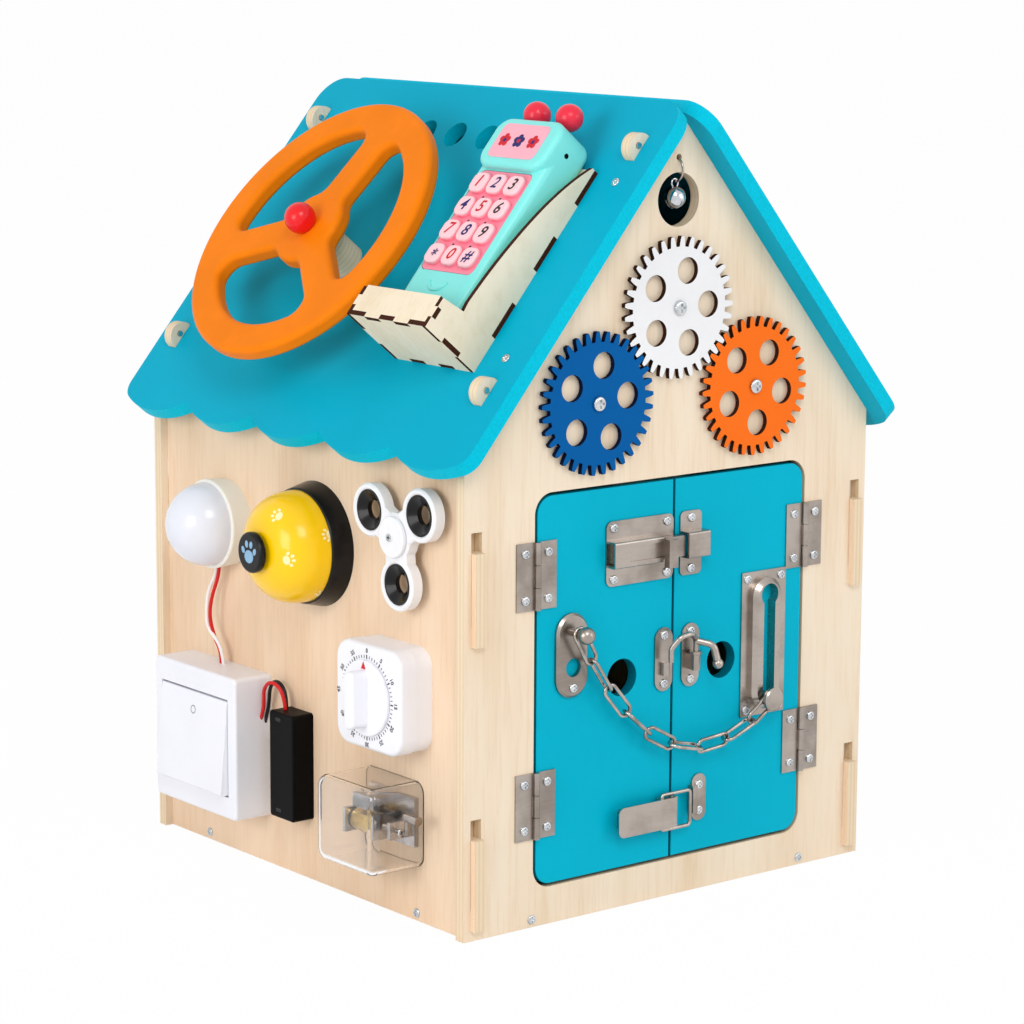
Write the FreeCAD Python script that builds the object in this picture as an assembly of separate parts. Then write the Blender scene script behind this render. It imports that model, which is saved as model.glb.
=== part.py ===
import FreeCAD, Part
import math
import os

# House-shaped wooden busy board: a plywood cabin with two doors, a pitched roof and activity toys.
# Millimetres. +X is right, -Y is the door side, +Z is up. The origin is the middle of the footprint.

Vec = FreeCAD.Vector

# Body panels
BODY_W = 300.0          # gable width
BODY_D = 308.0          # over both gables
WALL_H = 270.0          # height of the gable's upright edge
APEX_H = 450.0          # height of the gable's point
PLY_T = 7.0             # gables, side panels, doors and base
SIDE_INSET = 5.0        # side panel face in from the gable's edge
BASE_T = 9.0
FIT_GAP = 0.2           # between a tab and its slot

# Roof slabs
ROOF_T = 9.0
ROOF_OVERHANG = 15.0
CUSP_S = 240.4          # from the ridge down the slope to the notches between scallops
SCALLOPS = 5
SCALLOP_DROP = 9.6
ROOF_CORNER_R = 18.0
ROOF_FOOT_R = 12.0
TAB_S = (32.7, 197.5)   # ply tabs through the roof, down the slope
TAB_R = 8.5
TAB_PIN_R = 1.6
ROOF_SCREW_S = (56.5, 175.2)
ROOF_HOLE_R = 8.6
ROOF_HOLE_S = 34.6
ROOF_HOLE_Y = (41.0, 12.0, -18.0)

# Hook tabs of the side panels through the gables
HOOK_SLOTS = (177.0, 17.0)   # lower edge of each slot
HOOK_NECK = 40.5
HOOK_TAIL = 11.2
HOOK_OUT = 4.0

# Doorway and doors
DOORWAY_HALF = 101.2
DOORWAY_Z0 = 21.5
DOORWAY_Z1 = 245.5
DOORWAY_R = 12.0
DOOR_GAP = 1.8
SPLIT_GAP = 1.4
FINGER_X = 37.5
FINGER_Z = 134.0
FINGER_R = 10.6
STOP_X = (-38.0, 14.0)
STOP_H = 14.0
STOP_T = 4.0

# Hinges
HINGE_H = 38.0
HINGE_LEAF = 14.0
LEAF_T = 1.0
KNUCKLE_R = 1.9
PIN_R = 0.9
PIN_RUN = 0.05
KNUCKLE_GAP = 0.4
HINGE_AXIS_IN = 0.8       # axis in from the doorway's edge
LEFT_HINGE_Z = (200.0, 70.0)
RIGHT_HINGE_Z = (200.6, 77.5)
LEAF_SCREW_X = 8.0
LEAF_SCREW_Z = 13.0

# Screws
SHANK_R = 1.25
SHANK_RUN = 0.05
HEAD_R = 2.7
HEAD_H = 1.3
SHANK_L = 5.0
PLATE_T = 1.2

# Slide bolt
BOLT_Z = 206.0
BOLT_PLATE_X = (-50.8, -1.4)
BOLT_PLATE_H = 37.0
BOLT_SCREW_X = (-45.6, -6.4)
BOLT_SCREW_Z = 14.6
BOLT_BAR_H = 12.0
BOLT_BAR_T = 5.0
BOLT_TIP_X = 3.3
BOLT_RUN = 0.3
HOUSING_T = 1.2
HOUSING_X = (-50.0, -14.5)
HOUSING_SLOT_X = -38.8    # the slot runs from here to the housing's open end
HOUSING_SLOT_H = 9.0
BOLT_KNOB_X = -14.0
BOLT_KNOB_H = 4.2
BOLT_KNOB_FOLD = 6.6
KEEPER_X = (3.9, 19.9)
KEEPER_SCREW_X = 11.9

# Swing hook
HOOK_Z = 140.6
HOOK_PLATE_W = 13.0
HOOK_PLATE_H = 37.0
HOOK_LEFT_X = -7.4
HOOK_RIGHT_X = 12.7
HOOK_SCREW_Z = 14.0
HOOK_POST_R = 2.6
HOOK_POST_W = 6.0
HOOK_ROD_R = 1.6
HOOK_RISE = 12.0

# Toggle latch
TOGGLE_Z = 51.5
TOGGLE_PIVOT_X = -2.6
TOGGLE_PIVOT_W = 4.2
TOGGLE_LEVER_X = -45.0
TOGGLE_LEVER_H = 17.5
TOGGLE_LEVER_T = 1.2
TOGGLE_BASE_X = (-40.0, -1.0)
TOGGLE_BASE_H = 12.0
LOOP_PIVOT_X = -10.0
LOOP_R = 1.1
LOOP_BAR_X = 11.4
LOOP_HALF = 10.4
STRIKE_X = (13.4, 26.1)
STRIKE_Z = 55.3
STRIKE_H = 27.7
STRIKE_SCREW_X = 20.6
STRIKE_SCREW_Z = 7.6

# Door chain
ANCHOR_X = -75.5
ANCHOR_Z = 152.2
ANCHOR_W = 22.5
ANCHOR_H = 48.0
ANCHOR_T = 3.0
STUD_Z = 165.5
STUD_W = 11.2
STUD_BALL_R = 5.0
STUD_NECK_R = 2.2
ANCHOR_HOLE_Z = 145.5
ANCHOR_HOLE_R = 5.3
ANCHOR_SCREW_Z = 134.0
TRACK_X = 69.2
TRACK_Z = 140.3
TRACK_W = 34.2
TRACK_H = 85.6
RAIL_W = 22.0
RAIL_H = 78.0
RAIL_OUT = 6.5
SLOT_HALF = 4.4
SLOT_Z = (103.0, 176.0)
KEYHOLE_R = 6.5
KNOB_Z = 108.0
KNOB_R = 7.0
KNOB_STEM_R = 3.6
KNOB_NECK_R = 2.2
KNOB_W = (9.9, 12.7)
CHAIN_LINKS = 9
LINK_PITCH = 21.0
LINK_WIRE_R = 1.05
LINK_W = 9.6
CHAIN_W = 8.5           # chain's line out from the doors
CHAIN_WRAP = 2.3        # how far an end link's joint lies past the stud's middle
CHAIN_ROLL = 14.0

# Gears
GEAR_X = -1.7
GEAR_SPREAD = 58.3
GEAR_TOP_Z = APEX_H - 108.8
GEAR_DROP = 49.0
GEAR_TEETH = 33
GEAR_TIP_R = 40.0
GEAR_ROOT_R = 34.2
TOOTH_TIP = 2.0
TOOTH_PITCH_T = 3.1
TOOTH_ROOT = 4.1
GEAR_T = 3.0
GEAR_W = 1.0
GEAR_HOLE_R = 7.5
GEAR_HOLES_AT = 21.3
GEAR_HOLES = 5
GEAR_HOLE_TURN = {"gear_white": 2.0, "gear_blue": 8.0, "gear_orange": -12.0}
AXLE_R = 2.5
AXLE_RUN = 0.08
AXLE_HEAD_R = 4.2

# Bell window
WINDOW_Z = APEX_H - 48.8
WINDOW_R = 15.2
HANGER_HOLE_Z = APEX_H - 25.4
HANGER_HOLE_R = 1.9
HANGER_RING_R = 6.8
HANGER_WIRE_R = 0.7
BELL_R = 6.4
BELL_WALL = 0.6
BELL_LOOP_R = 2.3
BELL_LOOP_WIRE_R = 0.6
BELL_SLOT = 1.2
PELLET_R = 1.8

# Steering wheel, on the left roof
WHEEL_S = 130.5
WHEEL_Y = 35.5
WHEEL_R = 89.5
WHEEL_RIM = 20.5
WHEEL_T = 10.0
WHEEL_OUT = 27.0        # gap under the wheel
HUB_R = 25.0
SPOKE_W = 22.0
SPOKE_TURN = 71.0
WHEEL_ROUND = 3.5
WINDOW_CORNER_R = 9.0
POST_R = 11.0
POST_GAP = 0.5
STEER_AXLE_R = 4.0
STEER_RUN = 0.08
CAP_R = 9.2
CAP_RISE = 6.5

# Phone cradle, thin ply
CRADLE_Y = -96.0
CRADLE_W = 72.0
CRADLE_T = 3.0
CRADLE_S = (52.0, 187.0)
CRADLE_END_H = 43.0
LIP_L = 20.0
CRADLE_FINGERS = 6
CRADLE_LEFT_FALL = 8.0  # the left side is this much lower
PHONE_GAP = 0.5

# Toy phone
PHONE_S = (40.0, 183.4)
PHONE_TOP_W = 57.0
PHONE_FOOT_W = 54.0
PHONE_SHOULDER = 35.0
PHONE_CORNER_R = 10.0
PHONE_H = 27.0
PHONE_ROUND = 5.0
PHONE_HEAD = 4.5        # the head stands this far above the keypad's face
PHONE_HEAD_L = 33.5
KEYPAD_S = (74.5, 142.5)
KEYPAD_W = 46.0
KEYPAD_T = 1.2
KEY_PITCH = 16.3
KEY_SIZE = 13.0
KEY_H = 3.6
KEY_TRAVEL = 0.8
KEY_FIRST_S = 84.2
ANTENNA_S = 31.0
ANTENNA_SPREAD = 14.3
ANTENNA_R = 7.9
ANTENNA_H = 21.0
ANTENNA_NECK_R = 3.0

# Lamp on the left side panel; side places are measured towards the front and up
LAMP_Y = 82.7
LAMP_Z = 200.5
LAMP_R = 26.8
LAMP_CUP = 14.0
LAMP_DOME_R = 25.0
LAMP_WALL = 1.6

# Call bell
CALL_Y = -9.5
CALL_Z = 201.2
CALL_BASE_R = 36.3
CALL_BASE_H = 12.5
CALL_DOME_R = 32.3
CALL_DOME_H = 28.5
CALL_FULLNESS = 2.6     # 2 is half an ellipse, and more fills out its shoulder
CALL_WALL = 1.0
CALL_STEM_R = 2.2
CALL_KNOB_R = 11.8
CALL_KNOB_H = 3.6
CALL_TRAVEL = 1.8
CALL_RUN = 0.08

# Spinner
SPIN_Y = -100.0
SPIN_Z = 220.0
SPIN_ARM = 26.6
SPIN_LOBE_R = 15.0
SPIN_WEIGHT_R = 11.5
SPIN_WEIGHT_HOLE = 5.5
SPIN_WAIST_R = 12.0
SPIN_HUB_R = 11.0
SPIN_BORE_R = 4.0
SPIN_T = 7.0
SPIN_W = 5.0
SPIN_TURN = -86.0
SPIN_RUN = 0.08
SPIN_CAP_R = 11.6
SPIN_DISH = 3.2

# Kitchen timer
TIMER_Y = -89.5
TIMER_Z = 129.0
TIMER_SIZE = 60.0
TIMER_DEPTH = 23.0
TIMER_SEAM = 11.0
TIMER_R = 11.0
DIAL_R = 21.5
DIAL_T = 2.0
DIAL_BAR = (8.0, 33.0, 11.0)
DIAL_GAP = 0.4
DIAL_SHAFT_R = 3.0
DIAL_RUN = 0.08

# Light switch
SWITCH_Y = 81.0
SWITCH_Z = 72.5
SWITCH_SIZE = 86.0
SWITCH_DEPTH = 26.0
SWITCH_R = 3.0
ROCKER = (70.0, 58.0, 5.5)
ROCKER_GAP = 0.6
ROCKER_TILT = 5.0

# Battery case
BATTERY_Y = 7.2
BATTERY_Z = 68.3
BATTERY_SIZE = (24.3, 63.5, 14.5)

# Music box
MUSIC_Y = -83.8
MUSIC_Z = 56.3
MUSIC_SIZE = (55.5, 49.5, 35.5)
MUSIC_WALL = 1.6
MUSIC_R = 7.0
CRANK_R = 1.2
CRANK_W = 15.0
CRANK_Z = MUSIC_Z - 1.5
CRANK_OUT = 16.0
CRANK_ARM = 10.0
CYL_R = 6.5
CYL_L = 20.0

# Wires, out from the side panel
WIRE_R = 1.1
WIRE_W = 7.0


# Frames: u to the right, v up, w out of the surface
def frame(origin, u_dir, v_dir, w_dir):
    m = FreeCAD.Matrix(
        u_dir.x, v_dir.x, w_dir.x, origin.x,
        u_dir.y, v_dir.y, w_dir.y, origin.y,
        u_dir.z, v_dir.z, w_dir.z, origin.z,
        0, 0, 0, 1,
    )
    return FreeCAD.Placement(m)


SLOPE = math.atan2(APEX_H - WALL_H, BODY_W / 2)
SIN_R = math.sin(SLOPE)
COS_R = math.cos(SLOPE)
SIDE_FACE = BODY_W / 2 - SIDE_INSET
FRONT = frame(Vec(0, -BODY_D / 2, 0), Vec(1, 0, 0), Vec(0, 0, 1), Vec(0, -1, 0))
BACK = frame(Vec(0, BODY_D / 2, 0), Vec(-1, 0, 0), Vec(0, 0, 1), Vec(0, 1, 0))
LEFT = frame(Vec(-SIDE_FACE, 0, 0), Vec(0, -1, 0), Vec(0, 0, 1), Vec(-1, 0, 0))
RIGHT = frame(Vec(SIDE_FACE, 0, 0), Vec(0, 1, 0), Vec(0, 0, 1), Vec(1, 0, 0))
# On a roof, v runs up the slope from the ridge line and w starts at the slab's underside
ROOF_L = frame(Vec(0, 0, APEX_H), Vec(0, -1, 0), Vec(COS_R, 0, SIN_R), Vec(-SIN_R, 0, COS_R))
ROOF_RT = frame(Vec(0, 0, APEX_H), Vec(0, 1, 0), Vec(-COS_R, 0, SIN_R), Vec(SIN_R, 0, COS_R))


def at(where, shape):
    out = shape.copy()
    out.Placement = where.multiply(out.Placement)
    return out


def box(u0, u1, v0, v1, w0, w1):
    return Part.makeBox(u1 - u0, v1 - v0, w1 - w0, Vec(u0, v0, w0))


def rod(u, v, r, w0, w1):
    return Part.makeCylinder(r, w1 - w0, Vec(u, v, w0), Vec(0, 0, 1))


def rod_v(u, w, r, v0, v1):
    return Part.makeCylinder(r, v1 - v0, Vec(u, v0, w), Vec(0, 1, 0))


def rod_u(v, w, r, u0, u1):
    return Part.makeCylinder(r, u1 - u0, Vec(u0, v, w), Vec(1, 0, 0))


def polygon(points, w0, w1):
    loop = [Vec(u, v, w0) for u, v in points]
    face = Part.Face(Part.makePolygon(loop + loop[:1]))
    return face.extrude(Vec(0, 0, w1 - w0))


def upright_edges(shape, direction=Vec(0, 0, 1)):
    found = []
    for edge in shape.Edges:
        if isinstance(edge.Curve, Part.Line):
            if abs(abs(edge.Curve.Direction.dot(direction)) - 1) < 1e-6:
                found.append(edge)
    return found


def plate(u, v, size_u, size_v, w0, w1, r):
    block = box(u - size_u / 2, u + size_u / 2, v - size_v / 2, v + size_v / 2, w0, w1)
    r = min(r, 0.499 * min(size_u, size_v))
    return block.makeFillet(r, upright_edges(block))


def stadium(u, v0, v1, r, w0, w1):
    body = box(u - r, u + r, v0, v1, w0, w1)
    return body.fuse([rod(u, v0, r, w0, w1), rod(u, v1, r, w0, w1)]).removeSplitter()


def edges_at(shape, w):
    found = []
    for edge in shape.Edges:
        low, high = edge.BoundBox.ZMin, edge.BoundBox.ZMax
        if abs(low - w) < 1e-4 and abs(high - w) < 1e-4:
            found.append(edge)
    return found


def round_over(shape, w, r):
    return shape.makeFillet(r, edges_at(shape, w))


def cut(shape, *tools):
    return shape.cut(list(tools)).removeSplitter()


def join(*shapes):
    return shapes[0].fuse(list(shapes[1:])).removeSplitter()


def screw(u, v, seat, head_r=HEAD_R, head_h=HEAD_H, length=SHANK_L, shank_r=SHANK_R):
    head = Part.makeCylinder(head_r, head_h, Vec(u, v, seat))
    head = head.makeFillet(0.7 * head_h, edges_at(head, seat + head_h))
    arm = 0.62 * head_r
    slit = 0.18 * head_r
    depth = 0.5 * head_h
    top = seat + head_h
    cross = join(
        box(u - arm, u + arm, v - slit, v + slit, top - depth, top + 1),
        box(u - slit, u + slit, v - arm, v + arm, top - depth, top + 1),
    )
    shank = rod(u, v, shank_r, seat - length, seat + 0.1)
    return cut(join(head, shank), cross)


def drilled(shape, places, seat, length=SHANK_L):
    tools = [rod(u, v, SHANK_R + SHANK_RUN, seat - length - 0.3, seat + 0.01) for u, v in places]
    return shape.cut(tools)


def tube(points, r, bend):
    """A round bar along straight runs with an arc at each inner point."""
    pts = [Vec(*p) for p in points]
    edges = []
    start = pts[0]
    for before, corner, after in zip(pts, pts[1:], pts[2:]):
        d0 = (corner - before).normalize()
        d1 = (after - corner).normalize()
        turn = d0.getAngle(d1)
        near = 0.45 * min((corner - before).Length, (after - corner).Length)
        radius = near / math.tan(turn / 2)
        if bend:
            radius = min(bend, radius)
        back = radius * math.tan(turn / 2)
        a = corner - d0 * back
        b = corner + d1 * back
        inward = (d1 - d0).normalize()
        middle = corner + inward * (radius / math.cos(turn / 2) - radius)
        edges.append(Part.LineSegment(start, a).toShape())
        edges.append(Part.Arc(a, middle, b).toShape())
        start = b
    edges.append(Part.LineSegment(start, pts[-1]).toShape())
    path = Part.Wire(edges)
    tightest = min([e.Curve.Radius for e in edges if hasattr(e.Curve, "Radius")] or [0])
    first = (pts[1] - pts[0]).normalize()
    ring = Part.Wire([Part.makeCircle(r, pts[0], first)])
    return path.makePipeShell([ring], True, False), path.Length, tightest


def save(name, *shapes):
    solids = [s for shape in shapes for s in shape.Solids]
    Part.makeCompound(solids).exportStep("parts/" + name + ".step")
    volume = sum(s.Volume for s in solids)
    ok = all(s.isValid() for s in solids)
    print("%-20s %2d solids %10.0f mm3 %s" % (name, len(solids), volume, "" if ok else "NOT VALID"))


os.makedirs("parts", exist_ok=True)

# Places that several pieces share
DOOR_EDGE = DOORWAY_HALF - DOOR_GAP
HINGE_X = DOORWAY_HALF - HINGE_AXIS_IN
SPLIT_X = SPLIT_GAP / 2
GABLE_SCREW_X = 102.0
GABLE_SCREW_Z = BASE_T / 2
SIDE_SCREW_Y = 105.0
GABLE_MID = BODY_D / 2 - PLY_T / 2
GEAR_PLACES = {
    "gear_white": (GEAR_X, GEAR_TOP_Z),
    "gear_blue": (GEAR_X - GEAR_SPREAD, GEAR_TOP_Z - GEAR_DROP),
    "gear_orange": (GEAR_X + GEAR_SPREAD, GEAR_TOP_Z - GEAR_DROP),
}
PANEL_IN = SIDE_FACE - PLY_T
ROOF_END = BODY_D / 2 + ROOF_OVERHANG


# Gables, with the ply tabs that reach through the roof
def gable_outline():
    half = BODY_W / 2
    blank = polygon([(-half, 0), (half, 0), (half, WALL_H), (0, APEX_H), (-half, WALL_H)], -PLY_T, 0)
    tabs = []
    for side in (-1, 1):
        for s in TAB_S:
            foot = Vec(side * COS_R * s, APEX_H - SIN_R * s, 0)
            out = Vec(side * SIN_R, COS_R, 0)
            along = Vec(side * COS_R, -SIN_R, 0)
            a = foot - along * TAB_R - out * TAB_R
            b = foot + along * TAB_R - out * TAB_R
            c = foot + along * TAB_R + out * ROOF_T
            d = foot - along * TAB_R + out * ROOF_T
            top = foot + out * (ROOF_T + TAB_R)
            wire = Part.Wire([
                Part.makeLine(d, a), Part.makeLine(a, b), Part.makeLine(b, c), Part.Arc(c, top, d).toShape(),
            ])
            tab = Part.Face(wire).extrude(Vec(0, 0, -PLY_T))
            hole_at = foot + out * (ROOF_T + TAB_PIN_R + 1.0)
            tabs.append(tab.cut(rod(hole_at.x, hole_at.y, TAB_PIN_R + FIT_GAP, -PLY_T - 1, 1)))
    blank = join(blank, *tabs)
    slots = []
    for side in (-1, 1):
        for low in HOOK_SLOTS:
            inner = side * (PANEL_IN - FIT_GAP)
            outer = side * (SIDE_FACE + FIT_GAP)
            u0, u1 = min(inner, outer), max(inner, outer)
            slots.append(box(u0, u1, low, low + HOOK_NECK + HOOK_TAIL, -PLY_T - 1, 1))
    screws = [rod(u, GABLE_SCREW_Z, SHANK_R + SHANK_RUN, -PLY_T - 1, 1) for u in (-GABLE_SCREW_X, GABLE_SCREW_X)]
    return blank.cut(slots + screws)


def front_gable():
    blank = gable_outline()
    middle = (DOORWAY_Z0 + DOORWAY_Z1) / 2
    doorway = plate(0, middle, 2 * DOORWAY_HALF, DOORWAY_Z1 - DOORWAY_Z0, -PLY_T - 1, 1, DOORWAY_R)
    holes = [doorway, rod(0, WINDOW_Z, WINDOW_R, -PLY_T - 1, 1)]
    holes.append(rod(0, HANGER_HOLE_Z, HANGER_HOLE_R, -PLY_T - 1, 1))
    for u, v in GEAR_PLACES.values():
        holes.append(rod(u, v, AXLE_R + AXLE_RUN, -PLY_T - 1, 1))
    blank = drilled(blank.cut(holes), frame_leaf_screws(), LEAF_T)
    stop = box(STOP_X[0], STOP_X[1], DOORWAY_Z1 - STOP_H / 2, DOORWAY_Z1 + STOP_H / 2, -PLY_T - STOP_T, -PLY_T)
    return join(blank, stop)


def frame_leaf_screws():
    left = [(-HINGE_X - LEAF_SCREW_X, z + d) for z in LEFT_HINGE_Z for d in (-LEAF_SCREW_Z, LEAF_SCREW_Z)]
    right = [(HINGE_X + LEAF_SCREW_X, z + d) for z in RIGHT_HINGE_Z for d in (-LEAF_SCREW_Z, LEAF_SCREW_Z)]
    return left + right


save("front_gable", at(FRONT, front_gable()))
save("back_gable", at(BACK, gable_outline()))


# Side panels hook through the gables; the base panel lies between them
def side_panel():
    inside = BODY_D / 2 - PLY_T
    top = WALL_H + SIDE_INSET
    panel = box(-inside, inside, 0, top, -PLY_T, 0)
    tabs = []
    for side in (-1, 1):
        for low in HOOK_SLOTS:
            u0, u1 = sorted((side * (inside - 1), side * (BODY_D / 2 + HOOK_OUT)))
            tabs.append(box(u0, u1, low, low + HOOK_NECK, -PLY_T, 0))
            u0, u1 = sorted((side * BODY_D / 2, side * (BODY_D / 2 + HOOK_OUT)))
            tabs.append(box(u0, u1, low - HOOK_TAIL, low + HOOK_NECK, -PLY_T, 0))
    screws = [rod(u, GABLE_SCREW_Z, SHANK_R + SHANK_RUN, -PLY_T - 1, 1) for u in (-SIDE_SCREW_Y, SIDE_SCREW_Y)]
    return join(panel, *tabs).cut(screws)


save("left_side_panel", at(LEFT, side_panel()))
save("right_side_panel", at(RIGHT, side_panel()))

base = Part.makeBox(2 * PANEL_IN, BODY_D - 2 * PLY_T, BASE_T, Vec(-PANEL_IN, -BODY_D / 2 + PLY_T, 0))
for place in (FRONT, BACK):
    base = base.cut([at(place, rod(u, GABLE_SCREW_Z, SHANK_R + SHANK_RUN, -20, 0))
                     for u in (-GABLE_SCREW_X, GABLE_SCREW_X)])
for place in (LEFT, RIGHT):
    base = base.cut([at(place, rod(u, GABLE_SCREW_Z, SHANK_R + SHANK_RUN, -20, 0))
                     for u in (-SIDE_SCREW_Y, SIDE_SCREW_Y)])
save("base_panel", base)


# Roof slabs with a scalloped eave
def roof_slab():
    step = 2 * ROOF_END / SCALLOPS
    foot = -CUSP_S
    edges = [Part.makeLine(Vec(-ROOF_END, foot, 0), Vec(-ROOF_END, 0, 0)),
             Part.makeLine(Vec(-ROOF_END, 0, 0), Vec(ROOF_END, 0, 0)),
             Part.makeLine(Vec(ROOF_END, 0, 0), Vec(ROOF_END, foot, 0))]
    for i in range(SCALLOPS):
        a = Vec(ROOF_END - i * step, foot, 0)
        b = Vec(ROOF_END - (i + 1) * step, foot, 0)
        edges.append(Part.Arc(a, (a + b) * 0.5 - Vec(0, SCALLOP_DROP, 0), b).toShape())
    slab = Part.Face(Part.Wire(edges)).extrude(Vec(0, 0, ROOF_T))
    feet = [e for e in upright_edges(slab) if abs(abs(e.Vertexes[0].X) - ROOF_END) < 1e-3]
    tops = [e for e in feet if abs(e.Vertexes[0].Y) < 1e-3]
    slab = slab.makeFillet(ROOF_CORNER_R, tops)
    feet = [e for e in upright_edges(slab)
            if abs(abs(e.Vertexes[0].X) - ROOF_END) < 1e-3 and abs(e.Vertexes[0].Y - foot) < 1e-3]
    slab = slab.makeFillet(ROOF_FOOT_R, feet)
    slots = []
    for u in (-GABLE_MID, GABLE_MID):
        half_u = PLY_T / 2 + FIT_GAP
        for s in TAB_S:
            half_v = TAB_R + FIT_GAP
            slots.append(box(u - half_u, u + half_u, -s - half_v, -s + half_v, -1, ROOF_T + 1))
        for s in ROOF_SCREW_S:
            slots.append(rod(u, -s, SHANK_R + SHANK_RUN, -1, ROOF_T + 1))
    return slab.cut(slots)


left_roof = roof_slab().cut([rod(-y, -ROOF_HOLE_S, ROOF_HOLE_R, -1, ROOF_T + 1) for y in ROOF_HOLE_Y])
post_bore = rod(-WHEEL_Y, -WHEEL_S, STEER_AXLE_R + STEER_RUN, -1, ROOF_T + 1)
left_roof = left_roof.cut(post_bore)
save("roof_left", at(ROOF_L, left_roof))
save("roof_right", at(ROOF_RT, roof_slab()))

# Screws and pins that hold the panels, roof and gears
fasteners = []
for place in (FRONT, BACK):
    for u in (-GABLE_SCREW_X, GABLE_SCREW_X):
        fasteners.append(at(place, screw(u, GABLE_SCREW_Z, 0, length=18, head_h=0.9)))
for place in (LEFT, RIGHT):
    for u in (-SIDE_SCREW_Y, SIDE_SCREW_Y):
        fasteners.append(at(place, screw(u, GABLE_SCREW_Z, 0, length=18, head_h=0.9)))
for place in (ROOF_L, ROOF_RT):
    for u in (-GABLE_MID, GABLE_MID):
        for s in ROOF_SCREW_S:
            fasteners.append(at(place, screw(u, -s, ROOF_T, length=ROOF_T - 0.5, head_h=0.9)))
        for s in TAB_S:
            height = ROOF_T + TAB_PIN_R + 1.0
            pin = rod_u(-s, height, TAB_PIN_R, u - PLY_T / 2 - 1.0, u + PLY_T / 2 + 1.0)
            fasteners.append(at(place, pin))
for u, v in frame_leaf_screws():
    fasteners.append(at(FRONT, screw(u, v, LEAF_T)))
save("frame_screws", *fasteners)

axles = []
for u, v in GEAR_PLACES.values():
    gear_top = GEAR_W + GEAR_T
    axle = screw(u, v, gear_top + 0.4, AXLE_HEAD_R, 1.8, gear_top + PLY_T, AXLE_R)
    washer = cut(rod(u, v, AXLE_HEAD_R + 0.8, 0.05, 0.6), rod(u, v, AXLE_R + AXLE_RUN, 0, 1))
    axles += [at(FRONT, axle), at(FRONT, washer)]
save("gear_axles", *axles)


# Hinges: the frame leaf carries the end knuckles, the door leaf the middle one
def hinge_zones(middle):
    third = HINGE_H / 3
    low = middle - HINGE_H / 2
    ends = [(low, low + third - KNUCKLE_GAP / 2), (low + 2 * third + KNUCKLE_GAP / 2, low + HINGE_H)]
    centre = [(low + third + KNUCKLE_GAP / 2, low + 2 * third - KNUCKLE_GAP / 2)]
    return ends, centre


def hinge_leaf(axis_u, middle, side, zones):
    inner = axis_u + side * (KNUCKLE_R + 0.3)
    u0, u1 = sorted((inner, axis_u + side * HINGE_LEAF))
    leaf = box(u0, u1, middle - HINGE_H / 2, middle + HINGE_H / 2, 0, LEAF_T)
    pieces = []
    for low, high in zones:
        u0, u1 = sorted((axis_u, inner))
        pieces.append(box(u0, u1, low, high, 0, LEAF_T))
        pieces.append(rod_v(axis_u, KNUCKLE_R, KNUCKLE_R, low, high))
    leaf = join(leaf, *pieces)
    leaf = leaf.cut(rod_v(axis_u, KNUCKLE_R, PIN_R + PIN_RUN, middle - HINGE_H, middle + HINGE_H))
    at_u = axis_u + side * LEAF_SCREW_X
    return drilled(leaf, [(at_u, middle - LEAF_SCREW_Z), (at_u, middle + LEAF_SCREW_Z)], LEAF_T)


frame_leaves = []
door_leaves = {-1: [], 1: []}
hinge_pins = []
for side, heights in ((-1, LEFT_HINGE_Z), (1, RIGHT_HINGE_Z)):
    for z in heights:
        ends, centre = hinge_zones(z)
        axis_u = side * HINGE_X
        frame_leaves.append(at(FRONT, hinge_leaf(axis_u, z, side, ends)))
        door_leaves[side].append(at(FRONT, hinge_leaf(axis_u, z, -side, centre)))
        hinge_pins.append(at(FRONT, rod_v(axis_u, KNUCKLE_R, PIN_R, z - HINGE_H / 2, z + HINGE_H / 2)))
save("hinge_frame_leaves", *(frame_leaves + hinge_pins))
save("left_hinge_leaves", *door_leaves[-1])
save("right_hinge_leaves", *door_leaves[1])


# Doors and where their hardware is screwed on
def leaf_screws(side, heights):
    u = side * (HINGE_X - LEAF_SCREW_X)
    return [(u, z + d) for z in heights for d in (-LEAF_SCREW_Z, LEAF_SCREW_Z)]


HOOK_SCREWS = {x: [(x, HOOK_Z - HOOK_SCREW_Z), (x, HOOK_Z + HOOK_SCREW_Z)] for x in (HOOK_LEFT_X, HOOK_RIGHT_X)}
BOLT_SCREWS = [(x, BOLT_Z + d) for x in BOLT_SCREW_X for d in (-BOLT_SCREW_Z, BOLT_SCREW_Z)]
KEEPER_SCREWS = [(KEEPER_SCREW_X, BOLT_Z + d) for d in (-BOLT_SCREW_Z, BOLT_SCREW_Z)]
TOGGLE_SCREWS = [(TOGGLE_BASE_X[0] + 6, TOGGLE_Z), (TOGGLE_BASE_X[0] + 18, TOGGLE_Z)]
STRIKE_SCREWS = [(STRIKE_SCREW_X, STRIKE_Z + d) for d in (-STRIKE_SCREW_Z, STRIKE_SCREW_Z)]
ANCHOR_SCREWS = [(ANCHOR_X, ANCHOR_SCREW_Z)]
TRACK_SCREWS = [(TRACK_X + a * (TRACK_W / 2 - 4), TRACK_Z + b * (TRACK_H / 2 - 4)) for a in (-1, 1) for b in (-1, 1)]


def door(side):
    low, high = DOORWAY_Z0 + DOOR_GAP, DOORWAY_Z1 - DOOR_GAP
    u0, u1 = sorted((side * SPLIT_X, side * DOOR_EDGE))
    leaf = box(u0, u1, low, high, -PLY_T, 0)
    outer = [e for e in upright_edges(leaf) if abs(e.Vertexes[0].X - side * DOOR_EDGE) < 1e-3]
    leaf = leaf.makeFillet(DOORWAY_R - DOOR_GAP, outer)
    leaf = leaf.cut(rod(side * FINGER_X, FINGER_Z, FINGER_R, -PLY_T - 1, 1))
    return round_over(leaf, 0, 0.6)


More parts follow.
